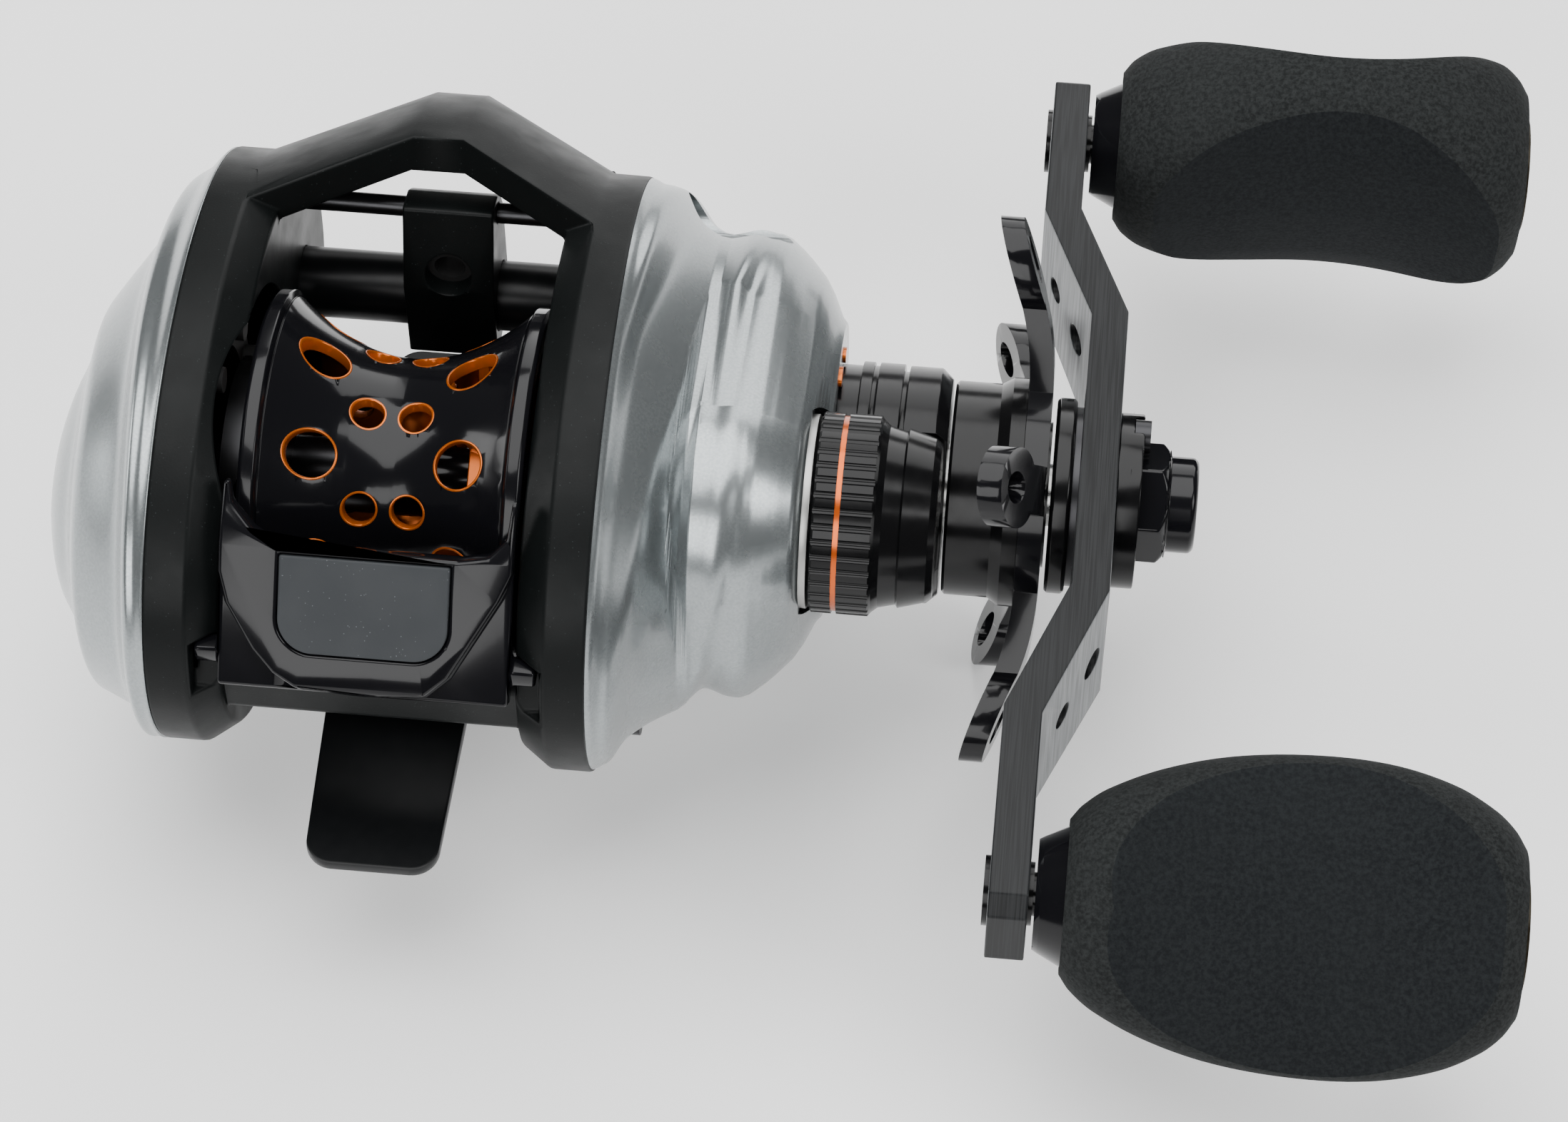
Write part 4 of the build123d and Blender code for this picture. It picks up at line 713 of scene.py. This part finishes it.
def paintWell(piece, amber, p):
    piece.data.materials.clear()
    piece.data.materials.append(finishes["gloss_black"])
    piece.data.materials.append(amber)
    for face in piece.data.polygons:
        x, y, z = face.center / mm
        reach = sqrt((y - p["axis"][0]) ** 2 + (z - p["axis"][1]) ** 2)
        between = abs(x - p["middle"]) < p["half"] - p["wellEnds"]
        face.material_index = int(between and p["wellFrom"] < reach < arborHeight(p, x) - p["skin"])


def makeRims(amber, p):
    rims = []
    for number in range(p["count"]):
        for (radius, x), turn in ((p["small"], 0), (p["large"], 0.5)):
            angle = radians(p["first"] + p["turned"] + (number + turn) * 360 / p["count"])
            rims += [makeRim(p, radius, side * x, angle) for side in (-1, 1)]
    hold(rims[0])
    for rim in rims:
        rim.select_set(True)
    bpy.ops.object.join()
    ring = bpy.context.object
    ring.name = "spoolRims"
    editAll(ring)
    bpy.ops.mesh.normals_make_consistent(inside=False)
    bpy.ops.object.mode_set(mode="OBJECT")
    ring.data.materials.append(amber)
    shade(ring, p["rimSmooth"])
    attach(ring, "spool")
    return ring


def makeSpool(p):
    # the spool turns freely, so its row of holes may rest at any angle
    amber = makeGlow("amberRim", p["rimTone"], p["rimRough"])
    piece = softened("spool", p["edge"], p["corner"])
    turnSpool(piece, p)
    paintWell(piece, amber, p)
    return piece, makeRims(amber, p)


spoolPiece, spoolRims = makeSpool(spoolHoles)
print("spool and rims:", len(spoolPiece.data.polygons), len(spoolRims.data.polygons), "faces")


# foam grips, scooped on two faces
gripShape = {
    "early": 1.5,           # millimetres that the foam starts before its CAD shape, towards the arm
    "rings": 72, "around": 144, "squareness": 2.5,
    # share of the length, half width, half depth
    "egg": [(0.0, 7.0, 7.0), (0.025, 8.3, 8.2), (0.08, 10.0, 9.2), (0.20, 12.2, 9.6), (0.35, 13.8, 8.8),
            (0.53, 14.5, 8.1), (0.70, 14.2, 8.5), (0.84, 12.8, 9.8), (0.93, 10.9, 10.0),
            (0.975, 9.3, 8.9), (1.0, 7.8, 7.6)],
    # share of the length, half depth between the scoops at the middle and at the rims
    "waist": [(-0.05, 12.0, 11.0), (0.05, 10.3, 8.0), (0.105, 9.4, 6.4), (0.20, 8.2, 5.0), (0.35, 7.2, 3.7),
              (0.53, 6.6, 3.0), (0.70, 6.9, 3.7), (0.84, 8.1, 5.8), (0.95, 9.8, 8.6), (1.05, 12.0, 11.0)],
    "slabSquareness": 9.0, "slabWide": 17.0, "slabOver": 2.0, "slabRings": 60, "slabAround": 160,
    "rimAt": 14.5,
    "edge": 0.45, "corner": 20, "segments": 2, "smooth": 30,
    # node and turn about its own axis, in degrees
    "grips": {"rearGrip": ("rear_knob_grip", 35.9), "frontGrip": ("front_knob_grip", 98.0)},
}
scoopTones = {"dark": tone(0.006, 0.007, 0.008), "light": tone(0.013, 0.015, 0.016),
              "speck": tone(0.022, 0.026, 0.027)}


tiny = 1e-6     # stands for no distance where a row is repeated at an end


def smoothRow(rows, share):
    # the rows' values at a share, on a smooth line through them
    spot = max(i for i, row in enumerate(rows[:-1]) if row[0] <= share or i == 0)
    before, here, there, after = [rows[min(max(spot + n, 0), len(rows) - 1)] for n in (-1, 0, 1, 2)]
    t = (share - here[0]) / (there[0] - here[0])
    values = []
    for n in range(1, len(here)):
        low = (there[n] - before[n]) / max(tiny, there[0] - before[0]) * (there[0] - here[0])
        high = (after[n] - here[n]) / max(tiny, after[0] - here[0]) * (there[0] - here[0])
        values.append(here[n] * (2 * t ** 3 - 3 * t ** 2 + 1) + there[n] * (3 * t ** 2 - 2 * t ** 3)
                      + low * (t ** 3 - 2 * t ** 2 + t) + high * (t ** 3 - t ** 2))
    return values


def squircle(wide, deep, turn, squareness):
    across, up = cos(turn), sin(turn)
    return (math.copysign(wide * abs(across) ** (2 / squareness), across),
            math.copysign(deep * abs(up) ** (2 / squareness), up))


def makeGrip(name, node, turn, p):
    # an egg cut down by a waisted slab, which leaves a scoop on two faces
    low, high = [Vector(corner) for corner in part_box(node)]
    start, end = low.x / mm - p["early"], high.x / mm
    middle = (low + high) / 2 / mm

    def eggPoint(x, angle):
        wide, deep = smoothRow(p["egg"], (x - start) / (end - start))
        return squircle(wide, deep, angle, p["squareness"])

    def slabPoint(x, angle):
        deep, rim = smoothRow(p["waist"], (x - start) / (end - start))
        y, z = squircle(p["slabWide"], 1.0, angle, p["slabSquareness"])
        return y, z * (deep + (rim - deep) * min(1, abs(y / p["rimAt"])) ** 2)

    shares = [0.5 - 0.5 * cos(pi * n / p["rings"]) for n in range(p["rings"] + 1)]
    spread = end - start + 2 * p["slabOver"]
    slabRows = [start - p["slabOver"] + spread * n / p["slabRings"] for n in range(p["slabRings"] + 1)]
    piece = ringTube(name, [start + (end - start) * share for share in shares], p["around"], eggPoint)
    slab = ringTube(name + "Slab", slabRows, p["slabAround"], slabPoint)
    piece.data.materials.append(finishes["eva_grip"])
    piece.data.materials.append(scoopFoam)
    slab.data.materials.append(scoopFoam)
    applyModifier(piece, "BOOLEAN", operation="INTERSECT", object=slab, solver="EXACT",
                  material_mode="TRANSFER")
    bpy.data.objects.remove(slab)
    roundCorners(piece, p["edge"], p["corner"], p["segments"], clamp=True)
    hold(piece)
    piece.matrix_world = (Matrix.Translation((0, middle.y * mm, middle.z * mm))
                          @ Matrix.Rotation(radians(turn), 4, "X"))
    setPlace(piece)
    shade(piece, p["smooth"])
    return standFor(piece, node)


scoopFoam = makeFoam(scoopTones, foamGrain)
grips = [makeGrip(name, node, turn, gripShape) for name, (node, turn) in gripShape["grips"].items()]
print("grips shaped:", [len(grip.data.polygons) for grip in grips], "faces")


# thumb bar, its edges well rounded
thumb = {"edge": 0.35, "corner": 30, "segments": 3, "smooth": 30}


def makeThumbBar(p):
    piece = meltedCopy("thumb_bar", "thumbBarDished")
    roundCorners(piece, p["edge"], p["corner"], p["segments"])
    shade(piece, p["smooth"])
    return standFor(piece, "thumb_bar")


thumbBar = makeThumbBar(thumb)
print("thumb bar rounded:", len(thumbBar.data.polygons), "faces")


# floor
paper = {
    "size": 6.0, "drop": 0.0006,        # metres, the drop below the reel
    "base": tone(0.93, 0.93, 0.93), "light": tone(0.96, 0.96, 0.96), "scale": 3, "rough": 0.9,
    "glow": 0.15,
}


def layFloor(p):
    deselect()
    bpy.ops.mesh.primitive_plane_add(size=p["size"], location=(0, 0, cadBox[0][2] - p["drop"]))
    floor = bpy.context.object
    floor.name = "floor"
    g = Graph("floorPaper")
    clouds = g.blendTones(g.noise(p["scale"], 2.0), p["base"], p["light"])
    floor.data.materials.append(g.finish({"Base Color": clouds, "Roughness": p["rough"],
                                          "Emission Color": tone(1, 1, 1), "Emission Strength": p["glow"]}))


setCamera(view)
setLights(lightRig)
layFloor(paper)
print("camera, lights and floor set")
